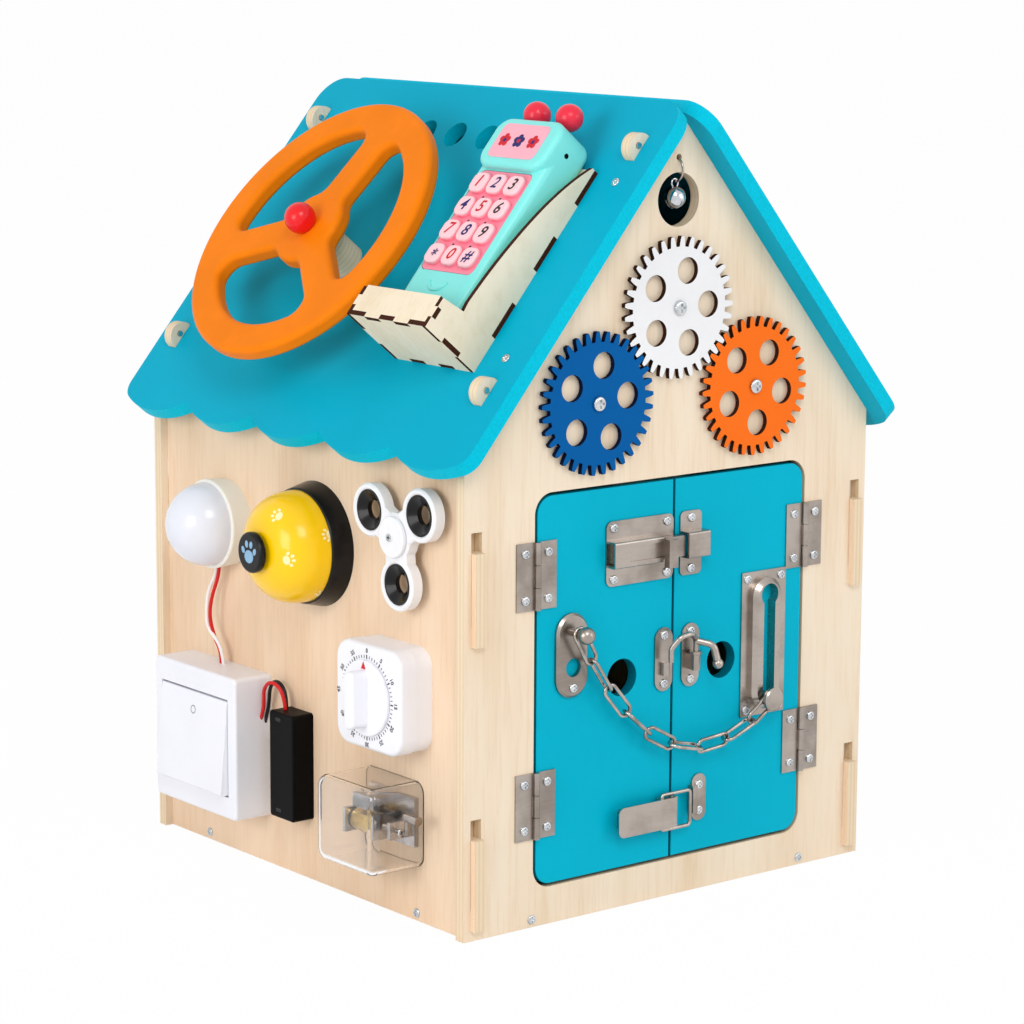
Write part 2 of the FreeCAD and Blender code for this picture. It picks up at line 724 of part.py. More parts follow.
left_door = drilled(door(-1), leaf_screws(-1, LEFT_HINGE_Z), LEAF_T)
left_door = drilled(left_door, BOLT_SCREWS + HOOK_SCREWS[HOOK_LEFT_X] + TOGGLE_SCREWS, PLATE_T)
left_door = drilled(left_door, ANCHOR_SCREWS, ANCHOR_T)
right_door = drilled(door(1), leaf_screws(1, RIGHT_HINGE_Z), LEAF_T)
right_door = drilled(right_door, KEEPER_SCREWS + HOOK_SCREWS[HOOK_RIGHT_X] + STRIKE_SCREWS + TRACK_SCREWS, PLATE_T)
save("left_door", at(FRONT, left_door))
save("right_door", at(FRONT, right_door))

left_screws = [screw(u, v, LEAF_T) for u, v in leaf_screws(-1, LEFT_HINGE_Z)]
left_screws += [screw(u, v, PLATE_T) for u, v in BOLT_SCREWS + HOOK_SCREWS[HOOK_LEFT_X] + TOGGLE_SCREWS]
left_screws += [screw(u, v, ANCHOR_T) for u, v in ANCHOR_SCREWS]
right_screws = [screw(u, v, LEAF_T) for u, v in leaf_screws(1, RIGHT_HINGE_Z)]
right_screws += [screw(u, v, PLATE_T)
                 for u, v in KEEPER_SCREWS + HOOK_SCREWS[HOOK_RIGHT_X] + STRIKE_SCREWS + TRACK_SCREWS]
save("left_door_screws", *[at(FRONT, s) for s in left_screws])
save("right_door_screws", *[at(FRONT, s) for s in right_screws])

# Slide bolt: a folded housing on a plate, a flat bar with a bent tab for a handle, and a strap keeper
BAR_W0 = PLATE_T + BOLT_RUN
BAR_W1 = BAR_W0 + BOLT_BAR_T
housing_in = BOLT_BAR_H / 2 + BOLT_RUN
housing_top = BAR_W1 + BOLT_RUN
bolt_plate = plate(sum(BOLT_PLATE_X) / 2, BOLT_Z, BOLT_PLATE_X[1] - BOLT_PLATE_X[0], BOLT_PLATE_H, 0, PLATE_T, 4)
cover = box(HOUSING_X[0], HOUSING_X[1], BOLT_Z - housing_in - HOUSING_T, BOLT_Z + housing_in + HOUSING_T,
            0, housing_top + HOUSING_T)
tunnel = box(HOUSING_X[0] - 1, HOUSING_X[1] + 1, BOLT_Z - housing_in, BOLT_Z + housing_in, PLATE_T, housing_top)
slot = box(HOUSING_SLOT_X, HOUSING_X[1] + 1, BOLT_Z - HOUSING_SLOT_H / 2, BOLT_Z + HOUSING_SLOT_H / 2,
           housing_top - 0.1, housing_top + 5)
cover = cover.makeFillet(1.2, [e for e in upright_edges(cover, Vec(1, 0, 0)) if e.BoundBox.ZMin > 1])
bolt_housing = drilled(join(bolt_plate, cover.cut([tunnel, slot])).cut(tunnel), BOLT_SCREWS, PLATE_T)
save("bolt_housing", at(FRONT, bolt_housing))

bar = box(HOUSING_X[0] + 4, BOLT_TIP_X, BOLT_Z - BOLT_BAR_H / 2, BOLT_Z + BOLT_BAR_H / 2, BAR_W0, BAR_W1)
tip_edges = [e for e in upright_edges(bar) if e.Vertexes[0].X > BOLT_TIP_X - 0.1]
bar = bar.makeFillet(1.0, tip_edges)
knob_w0 = housing_top + HOUSING_T + 0.4
knob_w1 = knob_w0 + BOLT_KNOB_H
knob_foot = box(BOLT_KNOB_X, BOLT_KNOB_X + 1.4, BOLT_Z - 4.0, BOLT_Z + 4.0, BAR_W1 - 0.1, knob_w0 + 0.1)
knob_up = box(BOLT_KNOB_X, BOLT_KNOB_X + 1.4, BOLT_Z - 10.3, BOLT_Z + 5.8, knob_w0, knob_w1)
knob_fold = box(BOLT_KNOB_X, BOLT_KNOB_X + BOLT_KNOB_FOLD, BOLT_Z - 10.3, BOLT_Z + 5.8, knob_w1 - 1.4, knob_w1)
save("bolt_bar", at(FRONT, join(bar, knob_foot, knob_up, knob_fold)))

strap_in = BOLT_BAR_H / 2 + BOLT_RUN
keeper = plate(sum(KEEPER_X) / 2, BOLT_Z, KEEPER_X[1] - KEEPER_X[0], BOLT_PLATE_H, 0, PLATE_T, 3)
strap = box(KEEPER_X[0], KEEPER_X[1], BOLT_Z - strap_in - HOUSING_T, BOLT_Z + strap_in + HOUSING_T,
            0, housing_top + HOUSING_T + 1.0)
strap = strap.makeFillet(1.2, [e for e in upright_edges(strap, Vec(1, 0, 0)) if e.BoundBox.ZMin > 1])
mouth = box(KEEPER_X[0] - 1, KEEPER_X[1] + 1, BOLT_Z - strap_in, BOLT_Z + strap_in, -1, housing_top + 1.0)
save("bolt_keeper", at(FRONT, drilled(join(keeper, strap).cut(mouth), KEEPER_SCREWS, PLATE_T)))


# Swing hook: an arched rod that turns on the right plate's post and drops over the left plate
def hook_plate(u):
    body = plate(u, HOOK_Z, HOOK_PLATE_W, HOOK_PLATE_H, 0, PLATE_T, HOOK_PLATE_W / 2)
    return drilled(body, HOOK_SCREWS[u], PLATE_T)


rest_pad = rod_v(HOOK_LEFT_X, PLATE_T + 1.4, 2.4, HOOK_Z - 9, HOOK_Z - 1.5)
save("hook_rest", at(FRONT, join(hook_plate(HOOK_LEFT_X), rest_pad)))
post = rod_v(HOOK_RIGHT_X, HOOK_POST_W, HOOK_POST_R, HOOK_Z - 8, HOOK_Z + 1)
foot = box(HOOK_RIGHT_X - 2, HOOK_RIGHT_X + 2, HOOK_Z - 8, HOOK_Z + 1, 0.5, HOOK_POST_W)
socket = rod_v(HOOK_RIGHT_X, HOOK_POST_W, HOOK_ROD_R + STEER_RUN, HOOK_Z - 6, HOOK_Z + 2)
save("hook_base", at(FRONT, join(hook_plate(HOOK_RIGHT_X), post, foot).cut(socket)))

arch_points = [
    (HOOK_RIGHT_X, HOOK_Z - 5.5, HOOK_POST_W),
    (HOOK_RIGHT_X, HOOK_Z + 10, HOOK_POST_W),
    (HOOK_RIGHT_X - 8, HOOK_Z + 15, HOOK_POST_W + 5),
    (HOOK_LEFT_X + 4, HOOK_Z + 14, HOOK_POST_W + 5),
    (HOOK_LEFT_X, HOOK_Z + 7, HOOK_POST_W + 1.5),
    (HOOK_LEFT_X, HOOK_Z - 0.6, HOOK_POST_W + 1.5),
]
arch = tube(arch_points, HOOK_ROD_R, 5.0)[0]
collar = rod_v(HOOK_RIGHT_X, HOOK_POST_W, HOOK_POST_R + 0.9, HOOK_Z + 1.4, HOOK_Z + 2.9)
tail = tube([(HOOK_RIGHT_X, HOOK_Z + 9, HOOK_POST_W), (HOOK_RIGHT_X + 7, HOOK_Z + 7, HOOK_POST_W + 7),
             (HOOK_RIGHT_X + 9, HOOK_Z - 4, HOOK_POST_W + 9)], HOOK_ROD_R * 1.3, 5.0)[0]
tail_end = Part.makeSphere(HOOK_ROD_R * 1.9, Vec(HOOK_RIGHT_X + 9, HOOK_Z - 4, HOOK_POST_W + 9))
save("hook_arm", at(FRONT, join(arch, collar, tail, tail_end)))

# Toggle latch: base, lever, wire loop and strike
base_plate = plate(sum(TOGGLE_BASE_X) / 2, TOGGLE_Z, TOGGLE_BASE_X[1] - TOGGLE_BASE_X[0], TOGGLE_BASE_H,
                   0, PLATE_T, 2)
ear_top = TOGGLE_PIVOT_W + 1.3
lever_w = TOGGLE_PIVOT_W + 2.5
ears = [box(TOGGLE_PIVOT_X - 1.6, TOGGLE_PIVOT_X + 1.6, TOGGLE_Z + a, TOGGLE_Z + a + 1.2, 0.5, ear_top)
        for a in (-TOGGLE_BASE_H / 2, TOGGLE_BASE_H / 2 - 1.2)]
toggle_base = join(base_plate, *ears)
toggle_pin = rod_v(TOGGLE_PIVOT_X, TOGGLE_PIVOT_W, 0.9, TOGGLE_Z - TOGGLE_LEVER_H / 2 - 0.3,
                   TOGGLE_Z + TOGGLE_LEVER_H / 2 + 0.3)
save("toggle_base", at(FRONT, drilled(join(toggle_base, toggle_pin), TOGGLE_SCREWS, PLATE_T)))

half = TOGGLE_LEVER_H / 2
lever = box(TOGGLE_LEVER_X, TOGGLE_PIVOT_X + 1.0, TOGGLE_Z - half, TOGGLE_Z + half,
            lever_w, lever_w + TOGGLE_LEVER_T)
lever_ends = [e for e in upright_edges(lever) if e.Vertexes[0].X < TOGGLE_LEVER_X + 1]
lever = lever.makeFillet(4.0, lever_ends)
cheek_low = TOGGLE_PIVOT_W - 2.0
cheeks = []
for sign in (-1, 1):
    v0, v1 = sorted((TOGGLE_Z + sign * (half - 1.2), TOGGLE_Z + sign * half))
    cheeks.append(box(LOOP_PIVOT_X - 3, TOGGLE_PIVOT_X + 2.2, v0, v1, cheek_low, lever_w + 0.1))
lever = join(lever, *cheeks)
reach = TOGGLE_LEVER_H
lever = lever.cut([rod_v(TOGGLE_PIVOT_X, TOGGLE_PIVOT_W, 0.9 + PIN_RUN, TOGGLE_Z - reach, TOGGLE_Z + reach),
                   rod_v(LOOP_PIVOT_X, TOGGLE_PIVOT_W, LOOP_R + PIN_RUN, TOGGLE_Z - reach, TOGGLE_Z + reach)])
save("toggle_lever", at(FRONT, lever))

loop_points = [
    (LOOP_PIVOT_X, TOGGLE_Z + half - 1.6, TOGGLE_PIVOT_W),
    (LOOP_PIVOT_X, TOGGLE_Z + LOOP_HALF, TOGGLE_PIVOT_W),
    (LOOP_BAR_X, TOGGLE_Z + LOOP_HALF, TOGGLE_PIVOT_W),
    (LOOP_BAR_X, TOGGLE_Z - LOOP_HALF, TOGGLE_PIVOT_W),
    (LOOP_PIVOT_X, TOGGLE_Z - LOOP_HALF, TOGGLE_PIVOT_W),
    (LOOP_PIVOT_X, TOGGLE_Z - half + 1.6, TOGGLE_PIVOT_W),
]
save("toggle_loop", at(FRONT, tube(loop_points, LOOP_R, 2.2)[0]))

strike = plate((STRIKE_X[0] + 2 + STRIKE_X[1]) / 2, STRIKE_Z, STRIKE_X[1] - STRIKE_X[0] - 2, STRIKE_H, 0, PLATE_T, 5)
lip = box(STRIKE_X[0], STRIKE_X[0] + 4, STRIKE_Z - 8, STRIKE_Z + 8, 0, 5.0)
lip = lip.makeFillet(1.2, [e for e in upright_edges(lip, Vec(0, 1, 0)) if e.BoundBox.ZMin > 1])
save("toggle_strike", at(FRONT, drilled(join(strike, lip), STRIKE_SCREWS, PLATE_T)))

# Door chain: anchor on the left door, track on the right door, links between
anchor = stadium(ANCHOR_X, ANCHOR_Z - ANCHOR_H / 2 + ANCHOR_W / 2, ANCHOR_Z + ANCHOR_H / 2 - ANCHOR_W / 2,
                 ANCHOR_W / 2, 0, ANCHOR_T)
anchor = anchor.makeChamfer(1.4, edges_at(anchor, ANCHOR_T))
anchor = anchor.cut(rod(ANCHOR_X, ANCHOR_HOLE_Z, ANCHOR_HOLE_R, -1, ANCHOR_T + 1))
neck = rod(ANCHOR_X, STUD_Z, STUD_NECK_R, ANCHOR_T - 0.1, STUD_W)
ball = Part.makeSphere(STUD_BALL_R, Vec(ANCHOR_X, STUD_Z, STUD_W + 3))
save("chain_anchor", at(FRONT, drilled(join(anchor, neck, ball), ANCHOR_SCREWS, ANCHOR_T)))

track = box(TRACK_X - TRACK_W / 2, TRACK_X + TRACK_W / 2, TRACK_Z - TRACK_H / 2, TRACK_Z + TRACK_H / 2, 0, PLATE_T)
rail = stadium(TRACK_X, TRACK_Z - RAIL_H / 2 + RAIL_W / 2, TRACK_Z + RAIL_H / 2 - RAIL_W / 2, RAIL_W / 2, 0, RAIL_OUT)
rail = rail.makeChamfer(2.5, edges_at(rail, RAIL_OUT))
slide_slot = stadium(TRACK_X, SLOT_Z[0] + SLOT_HALF, SLOT_Z[1] - SLOT_HALF, SLOT_HALF, -1, RAIL_OUT + 1)
keyhole = rod(TRACK_X, SLOT_Z[1] - KEYHOLE_R, KEYHOLE_R, -1, RAIL_OUT + 1)
save("chain_track", at(FRONT, drilled(join(track, rail).cut([slide_slot, keyhole]), TRACK_SCREWS, PLATE_T)))

stem = join(rod(TRACK_X, KNOB_Z, KNOB_STEM_R, 1.0, RAIL_OUT), rod(TRACK_X, KNOB_Z, KNOB_NECK_R, 1.0, KNOB_W[1]))
disc = rod(TRACK_X, KNOB_Z, KNOB_R, KNOB_W[0], KNOB_W[1])
disc = disc.makeChamfer(0.8, edges_at(disc, KNOB_W[1]))
save("chain_knob", at(FRONT, join(stem, disc)))


def chain_joints():
    """Ends of the links along a hanging chain of the set length."""
    ax, az = ANCHOR_X - 0.5 * CHAIN_WRAP, STUD_Z + 0.87 * CHAIN_WRAP
    bx, bz = TRACK_X + 0.87 * CHAIN_WRAP, KNOB_Z + 0.5 * CHAIN_WRAP
    length = CHAIN_LINKS * LINK_PITCH
    span, rise = bx - ax, bz - az
    goal = math.sqrt(length ** 2 - rise ** 2) / span
    low, high = 1e-3, 8.0
    for _ in range(80):
        mid = (low + high) / 2
        if math.sinh(mid) / mid < goal:
            low = mid
        else:
            high = mid
    a = span / (2 * low)
    shift = span / 2 - a * math.atanh(rise / length)
    arc0 = a * math.sinh(-shift / a)
    joints = []
    for i in range(CHAIN_LINKS + 1):
        x = shift + a * math.asinh((arc0 + i * LINK_PITCH) / a)
        z = a * (math.cosh((x - shift) / a) - math.cosh(-shift / a))
        joints.append(Vec(ax + x, az + z, CHAIN_W))
    return joints


def chain_link(a, b, roll):
    r = LINK_WIRE_R
    over = 2 * r + 0.2
    length = (b - a).Length + over
    bend = LINK_W / 2 - r
    straight = length / 2 - bend
    top = Part.makeLine(Vec(-straight, bend, 0), Vec(straight, bend, 0))
    end = Part.Arc(Vec(straight, bend, 0), Vec(straight + bend, 0, 0), Vec(straight, -bend, 0)).toShape()
    low = Part.makeLine(Vec(straight, -bend, 0), Vec(-straight, -bend, 0))
    back = Part.Arc(Vec(-straight, -bend, 0), Vec(-straight - bend, 0, 0), Vec(-straight, bend, 0)).toShape()
    ring = Part.Wire([Part.makeCircle(r, Vec(-straight, bend, 0), Vec(1, 0, 0))])
    link = Part.Wire([top, end, low, back]).makePipeShell([ring], True, False)
    aim = FreeCAD.Rotation(Vec(1, 0, 0), b - a)
    twist = FreeCAD.Rotation(Vec(1, 0, 0), roll)
    link.Placement = FreeCAD.Placement((a + b) * 0.5, aim.multiply(twist))
    return link


joints = chain_joints()
links = []
for i in range(CHAIN_LINKS):
    roll = 90 * (i % 2) + CHAIN_ROLL * math.sin(math.pi * i / (CHAIN_LINKS - 1))
    links.append(chain_link(joints[i], joints[i + 1], roll))
save("door_chain", *[at(FRONT, link) for link in links])


# Gears: equal wheels in mesh with the white one
def gear(turn_holes, first_tooth):
    step = 2 * math.pi / GEAR_TEETH
    pitch_r = math.hypot(GEAR_SPREAD, GEAR_DROP) / 2
    rings = [(GEAR_ROOT_R, TOOTH_ROOT), (pitch_r, TOOTH_PITCH_T), (GEAR_TIP_R, TOOTH_TIP)]
    points = []
    for i in range(GEAR_TEETH):
        mid = math.radians(first_tooth) + i * step
        for r, thick in rings:
            points.append((r * math.cos(mid - thick / 2 / r), r * math.sin(mid - thick / 2 / r)))
        for r, thick in reversed(rings):
            points.append((r * math.cos(mid + thick / 2 / r), r * math.sin(mid + thick / 2 / r)))
    wheel = polygon(points, GEAR_W, GEAR_W + GEAR_T)
    holes = [rod(0, 0, AXLE_R + AXLE_RUN, 0, 10)]
    for i in range(GEAR_HOLES):
        angle = math.radians(turn_holes + i * 360 / GEAR_HOLES)
        holes.append(rod(GEAR_HOLES_AT * math.cos(angle), GEAR_HOLES_AT * math.sin(angle), GEAR_HOLE_R, 0, 10))
    return wheel.cut(holes)


TOOTH = 360.0 / GEAR_TEETH
for name, (u, v) in GEAR_PLACES.items():
    first = 0.0
    if name != "gear_white":
        line = math.degrees(math.atan2(v - GEAR_TOP_Z, u - GEAR_X))
        # the white gear's phase on this line, mirrored, and half a tooth on
        phase = (line % TOOTH) / TOOTH
        first = line + 180 + (phase + 0.5) * TOOTH
    wheel = gear(GEAR_HOLE_TURN[name], first)
    wheel.translate(Vec(u, v, 0))
    save(name, at(FRONT, wheel))

# Bell on a ring through the hanger hole
RING_Z = HANGER_HOLE_Z - HANGER_RING_R
MID_W = -PLY_T / 2
hanger = Part.makeTorus(HANGER_RING_R, HANGER_WIRE_R, Vec(0, RING_Z, MID_W), Vec(1, 0, 0))
save("bell_ring", at(FRONT, hanger))
PIVOT_Z = RING_Z - HANGER_RING_R
loop_z = PIVOT_Z - (BELL_LOOP_R - BELL_LOOP_WIRE_R - HANGER_WIRE_R - 0.2)
eye = Part.makeTorus(BELL_LOOP_R, BELL_LOOP_WIRE_R, Vec(0, loop_z, MID_W), Vec(0, 0, 1))
bell_z = loop_z - BELL_LOOP_R - BELL_R + 0.7
shell = Part.makeSphere(BELL_R, Vec(0, bell_z, MID_W)).cut(Part.makeSphere(BELL_R - BELL_WALL, Vec(0, bell_z, MID_W)))
slit = BELL_SLOT / 2
cross = join(box(-slit, slit, bell_z - BELL_R - 1, bell_z - 1.5, MID_W - 8, MID_W + 8),
             box(-8, 8, bell_z - BELL_R - 1, bell_z - 1.5, MID_W - slit, MID_W + slit))
pellet = Part.makeSphere(PELLET_R, Vec(0, bell_z - BELL_R + BELL_WALL + PELLET_R + 0.02, MID_W))
eye = eye.cut(Part.makeSphere(BELL_R - BELL_WALL, Vec(0, bell_z, MID_W)))
save("jingle_bell", at(FRONT, join(shell.cut(cross), eye)), at(FRONT, pellet))

# Steering wheel on a post, with its axis square to the roof
WHEEL_W0 = ROOF_T + WHEEL_OUT
WHEEL_W1 = WHEEL_W0 + WHEEL_T


def wheel_window(turn):
    outer = rod(0, 0, WHEEL_R - WHEEL_RIM, WHEEL_W0 - 1, WHEEL_W1 + 1)
    spokes = []
    for i in range(3):
        arm = box(0, 2 * WHEEL_R, -SPOKE_W / 2, SPOKE_W / 2, WHEEL_W0 - 2, WHEEL_W1 + 2)
        arm.rotate(Vec(0, 0, 0), Vec(0, 0, 1), turn + i * 120)
        spokes.append(arm)
    hub = rod(0, 0, HUB_R, WHEEL_W0 - 2, WHEEL_W1 + 2)
    pieces = outer.cut(spokes + [hub])
    return [p.makeFillet(WINDOW_CORNER_R, upright_edges(p)) for p in pieces.Solids]


spoke_turn = -90.0 - SPOKE_TURN
wheel = rod(0, 0, WHEEL_R, WHEEL_W0, WHEEL_W1).cut(wheel_window(spoke_turn))
wheel = round_over(round_over(wheel, WHEEL_W1, WHEEL_ROUND), WHEEL_W0, WHEEL_ROUND - 1)
wheel = wheel.cut(rod(0, 0, STEER_AXLE_R + STEER_RUN, WHEEL_W0 - 1, WHEEL_W1 - 3))
wheel.translate(Vec(-WHEEL_Y, -WHEEL_S, 0))
save("steering_wheel", at(ROOF_L, wheel))
post = join(rod(-WHEEL_Y, -WHEEL_S, POST_R, ROOF_T, WHEEL_W0 - POST_GAP),
            rod(-WHEEL_Y, -WHEEL_S, STEER_AXLE_R, 0.5, WHEEL_W1 - 3.5))
save("steering_post", at(ROOF_L, post))
cap = Part.makeSphere(CAP_R, Vec(-WHEEL_Y, -WHEEL_S, WHEEL_W1 + CAP_RISE))
cap = cap.cut(box(-WHEEL_Y - 20, -WHEEL_Y + 20, -WHEEL_S - 20, -WHEEL_S + 20, WHEEL_W1 - 20, WHEEL_W1))
save("steering_cap", at(ROOF_L, cap))


# Phone cradle: five thin ply plates with finger joints
def fingers(first, second, zones):
    for i, zone in enumerate(zones):
        if i % 2:
            first = first.cut(zone)
        else:
            second = second.cut(zone)
    return first, second


def side_profile(u0, fall=0.0):
    s0, s1 = CRADLE_S
    rise = CRADLE_END_H
    low = [Vec(u0, -s1, 0), Vec(u0, -s1, rise), Vec(u0, -s1 + LIP_L - 1, rise),
           Vec(u0, -s1 + 21.4, 27.0 - fall)]
    curve = [Vec(u0, -s1 + 27.0, 27.6 - fall), Vec(u0, -s1 + 45.0, 26.4 - fall), Vec(u0, -s1 + 75.0, 22.6 - fall),
             Vec(u0, -s1 + 112.0, 14.2 - 0.6 * fall), Vec(u0, -s0, 5.0)]
    line = Part.makePolygon(low + curve[:1])
    bow = Part.BSplineCurve()
    bow.interpolate(curve)
    close = Part.makePolygon([curve[-1], Vec(u0, -s0, 0), low[0]])
    wire = Part.Wire(line.Edges + [bow.toShape()] + close.Edges)
    side = Part.Face(wire).extrude(Vec(CRADLE_T, 0, 0))
    side.translate(Vec(0, 0, ROOF_T))
    return side


cu = -CRADLE_Y
cu0, cu1 = cu - CRADLE_W / 2, cu + CRADLE_W / 2
cs0, cs1 = CRADLE_S
ct = CRADLE_T
ctop = ROOF_T + CRADLE_END_H
side_a = side_profile(cu0, CRADLE_LEFT_FALL)
side_b = side_profile(cu1 - ct)
floor = box(cu0, cu1, -cs1, -cs0, ROOF_T, ROOF_T + ct)
end = box(cu0, cu1, -cs1, -cs1 + ct, ROOF_T, ctop)
lip = box(cu0, cu1, -cs1, -cs1 + LIP_L, ctop - ct, ctop)
step = (cs1 - cs0) / CRADLE_FINGERS
for which in (0, 1):
    u0 = (cu0, cu1 - ct)[which]
    zones = [box(u0, u0 + ct, -cs1 + i * step, -cs1 + (i + 1) * step, ROOF_T, ROOF_T + ct)
             for i in range(CRADLE_FINGERS)]
    side = (side_a, side_b)[which]
    side, floor = fingers(side, floor, zones)
    third = CRADLE_END_H / 3
    zones = [box(u0, u0 + ct, -cs1, -cs1 + ct, ROOF_T + i * third, ROOF_T + (i + 1) * third) for i in range(3)]
    side, end = fingers(side, end, zones)
    quarter = LIP_L / 3
    zones = [box(u0, u0 + ct, -cs1 + i * quarter, -cs1 + (i + 1) * quarter, ctop - ct, ctop) for i in range(3)]
    side, lip = fingers(side, lip, zones)
    if which:
        side_b = side
    else:
        side_a = side
width = (CRADLE_W - 2 * ct) / 5
zones = [box(cu0 + ct + i * width, cu0 + ct + (i + 1) * width, -cs1, -cs1 + ct, ctop - ct, ctop) for i in range(5)]
end, lip = fingers(end, lip, zones)
zones = [box(cu0 + ct + i * width, cu0 + ct + (i + 1) * width, -cs1, -cs1 + ct, ROOF_T, ROOF_T + ct) for i in range(5)]
end, floor = fingers(end, floor, zones)
lip = lip.cut([end, side_a, side_b])
floor = floor.cut([end, side_a, side_b])
end = end.cut([side_a, side_b])
save("phone_cradle", *[at(ROOF_L, p) for p in (side_a, side_b, floor, end, lip)])

# Toy phone: case, keypad sheet with its keys, and two ball antennae
P0 = ROOF_T + ct + PHONE_GAP
P1 = ROOF_T + PHONE_H
ps0, ps1 = PHONE_S
outline = [(cu - PHONE_FOOT_W / 2, -ps1), (cu + PHONE_FOOT_W / 2, -ps1),
           (cu + PHONE_TOP_W / 2, -ps0 - PHONE_SHOULDER), (cu + PHONE_TOP_W / 2, -ps0),
           (cu - PHONE_TOP_W / 2, -ps0), (cu - PHONE_TOP_W / 2, -ps0 - PHONE_SHOULDER)]
case = polygon(outline, P0, P1)
corners = [e for e in upright_edges(case) if abs(e.Vertexes[0].Y + ps0 + PHONE_SHOULDER) > 1]
case = case.makeFillet(PHONE_CORNER_R, corners)
case = round_over(round_over(case, P1, PHONE_ROUND), P0, PHONE_ROUND)
head = plate(cu, -ps0 - PHONE_HEAD_L / 2, PHONE_TOP_W, PHONE_HEAD_L, P1 - 8, P1 + PHONE_HEAD, PHONE_CORNER_R)
case = join(case, round_over(head, P1 + PHONE_HEAD, 3.5))
KEY_FLOOR = P1 - KEYPAD_T - 0.2 - KEY_TRAVEL - 0.4
pad_v = -(KEYPAD_S[0] + KEYPAD_S[1]) / 2
pad_l = KEYPAD_S[1] - KEYPAD_S[0]
recess = plate(cu, pad_v, KEYPAD_W + 0.8, pad_l + 0.8, KEY_FLOOR, P1 + 1, 4.4)
case = case.cut(recess)
save("phone_case", at(ROOF_L, case))
SHEET_W0 = P1 - KEYPAD_T - 0.2
keypad = plate(cu, pad_v, KEYPAD_W, pad_l, SHEET_W0, SHEET_W0 + KEYPAD_T, 4)
keys = []
for row in range(4):
    for col in (-1, 0, 1):
        key = plate(cu + col * KEY_PITCH * 0.93, -KEY_FIRST_S - row * KEY_PITCH, KEY_SIZE, KEY_SIZE,
                    SHEET_W0 + KEYPAD_T - 0.1, SHEET_W0 + KEYPAD_T + KEY_H, 4.5)
        keys.append(round_over(key, SHEET_W0 + KEYPAD_T + KEY_H, 1.4))
save("phone_keypad", at(ROOF_L, join(keypad, *keys)))
balls = []
for sign in (-1, 1):
    u = cu + sign * ANTENNA_SPREAD
    w = ROOF_T + ANTENNA_H
    ball = Part.makeSphere(ANTENNA_R, Vec(u, -ANTENNA_S, w))
    neck = rod_v(u, w, ANTENNA_NECK_R, -ps0 + 0.02, -ANTENNA_S)
    balls.append(at(ROOF_L, join(ball, neck)))
save("phone_antennae", *balls)


# Side toys are placed in the left panel's frame, where u is minus y
def dome(u, v, w, r, height):
    """A cap of a sphere on a circle of radius r."""
    ball_r = (r * r + height * height) / (2 * height)
    ball = Part.makeSphere(ball_r, Vec(u, v, w + height - ball_r))
    return ball.common(rod(u, v, r + 1, w, w + height + 1))


lu, lv = -LAMP_Y, LAMP_Z
cup = Part.makeCone(LAMP_R - 1.0, LAMP_R, LAMP_CUP, Vec(lu, lv, 0), Vec(0, 0, 1))
cup = round_over(cup, LAMP_CUP, 1.2)
inside = rod(lu, lv, LAMP_DOME_R - LAMP_WALL, 2.0, LAMP_CUP + 1)
save("lamp_cup", at(LEFT, cup.cut(inside)))
bulb = dome(lu, lv, LAMP_CUP, LAMP_DOME_R, LAMP_DOME_R)
bulb = bulb.cut(dome(lu, lv, LAMP_CUP, LAMP_DOME_R - LAMP_WALL, LAMP_DOME_R - LAMP_WALL))
save("lamp_dome", at(LEFT, bulb))

bu, bv = -CALL_Y, CALL_Z
base = Part.makeCone(CALL_BASE_R, CALL_DOME_R + 1.0, CALL_BASE_H, Vec(bu, bv, 0), Vec(0, 0, 1))
base = round_over(base, CALL_BASE_H, 1.0)
base = base.cut(rod(bu, bv, CALL_STEM_R + CALL_RUN, 3.0, CALL_BASE_H + 1))
save("call_bell_base", at(LEFT, base))


def full_dome(u, v, w, r, height):
    rise = Part.BSplineCurve()
    steps = [math.radians(90 * i / 12) for i in range(13)]
    power = 2 / CALL_FULLNESS
    rise.interpolate([Vec(u + r * math.cos(a) ** power if a < 1.57 else u, v, w + height * math.sin(a) ** power)
                      for a in steps])
    axis_line = Part.makePolygon([Vec(u, v, w + height), Vec(u, v, w), Vec(u + r, v, w)])
    half = Part.Face(Part.Wire([rise.toShape()] + axis_line.Edges))
    return half.revolve(Vec(u, v, w), Vec(0, 0, 1), 360)


gong = full_dome(bu, bv, CALL_BASE_H, CALL_DOME_R, CALL_DOME_H)
gong = gong.cut([full_dome(bu, bv, CALL_BASE_H, CALL_DOME_R - CALL_WALL, CALL_DOME_H - CALL_WALL),
                 rod(bu, bv, CALL_STEM_R + CALL_RUN, CALL_BASE_H, CALL_BASE_H + CALL_DOME_H + 1)])
save("call_bell_dome", at(LEFT, gong))
knob_w = CALL_BASE_H + CALL_DOME_H + CALL_TRAVEL + 0.5
plunger = join(rod(bu, bv, CALL_STEM_R, 3.0 + CALL_TRAVEL + 0.5, knob_w + 0.5),
               round_over(rod(bu, bv, CALL_KNOB_R, knob_w, knob_w + CALL_KNOB_H), knob_w + CALL_KNOB_H, 1.6))
save("call_bell_plunger", at(LEFT, plunger))

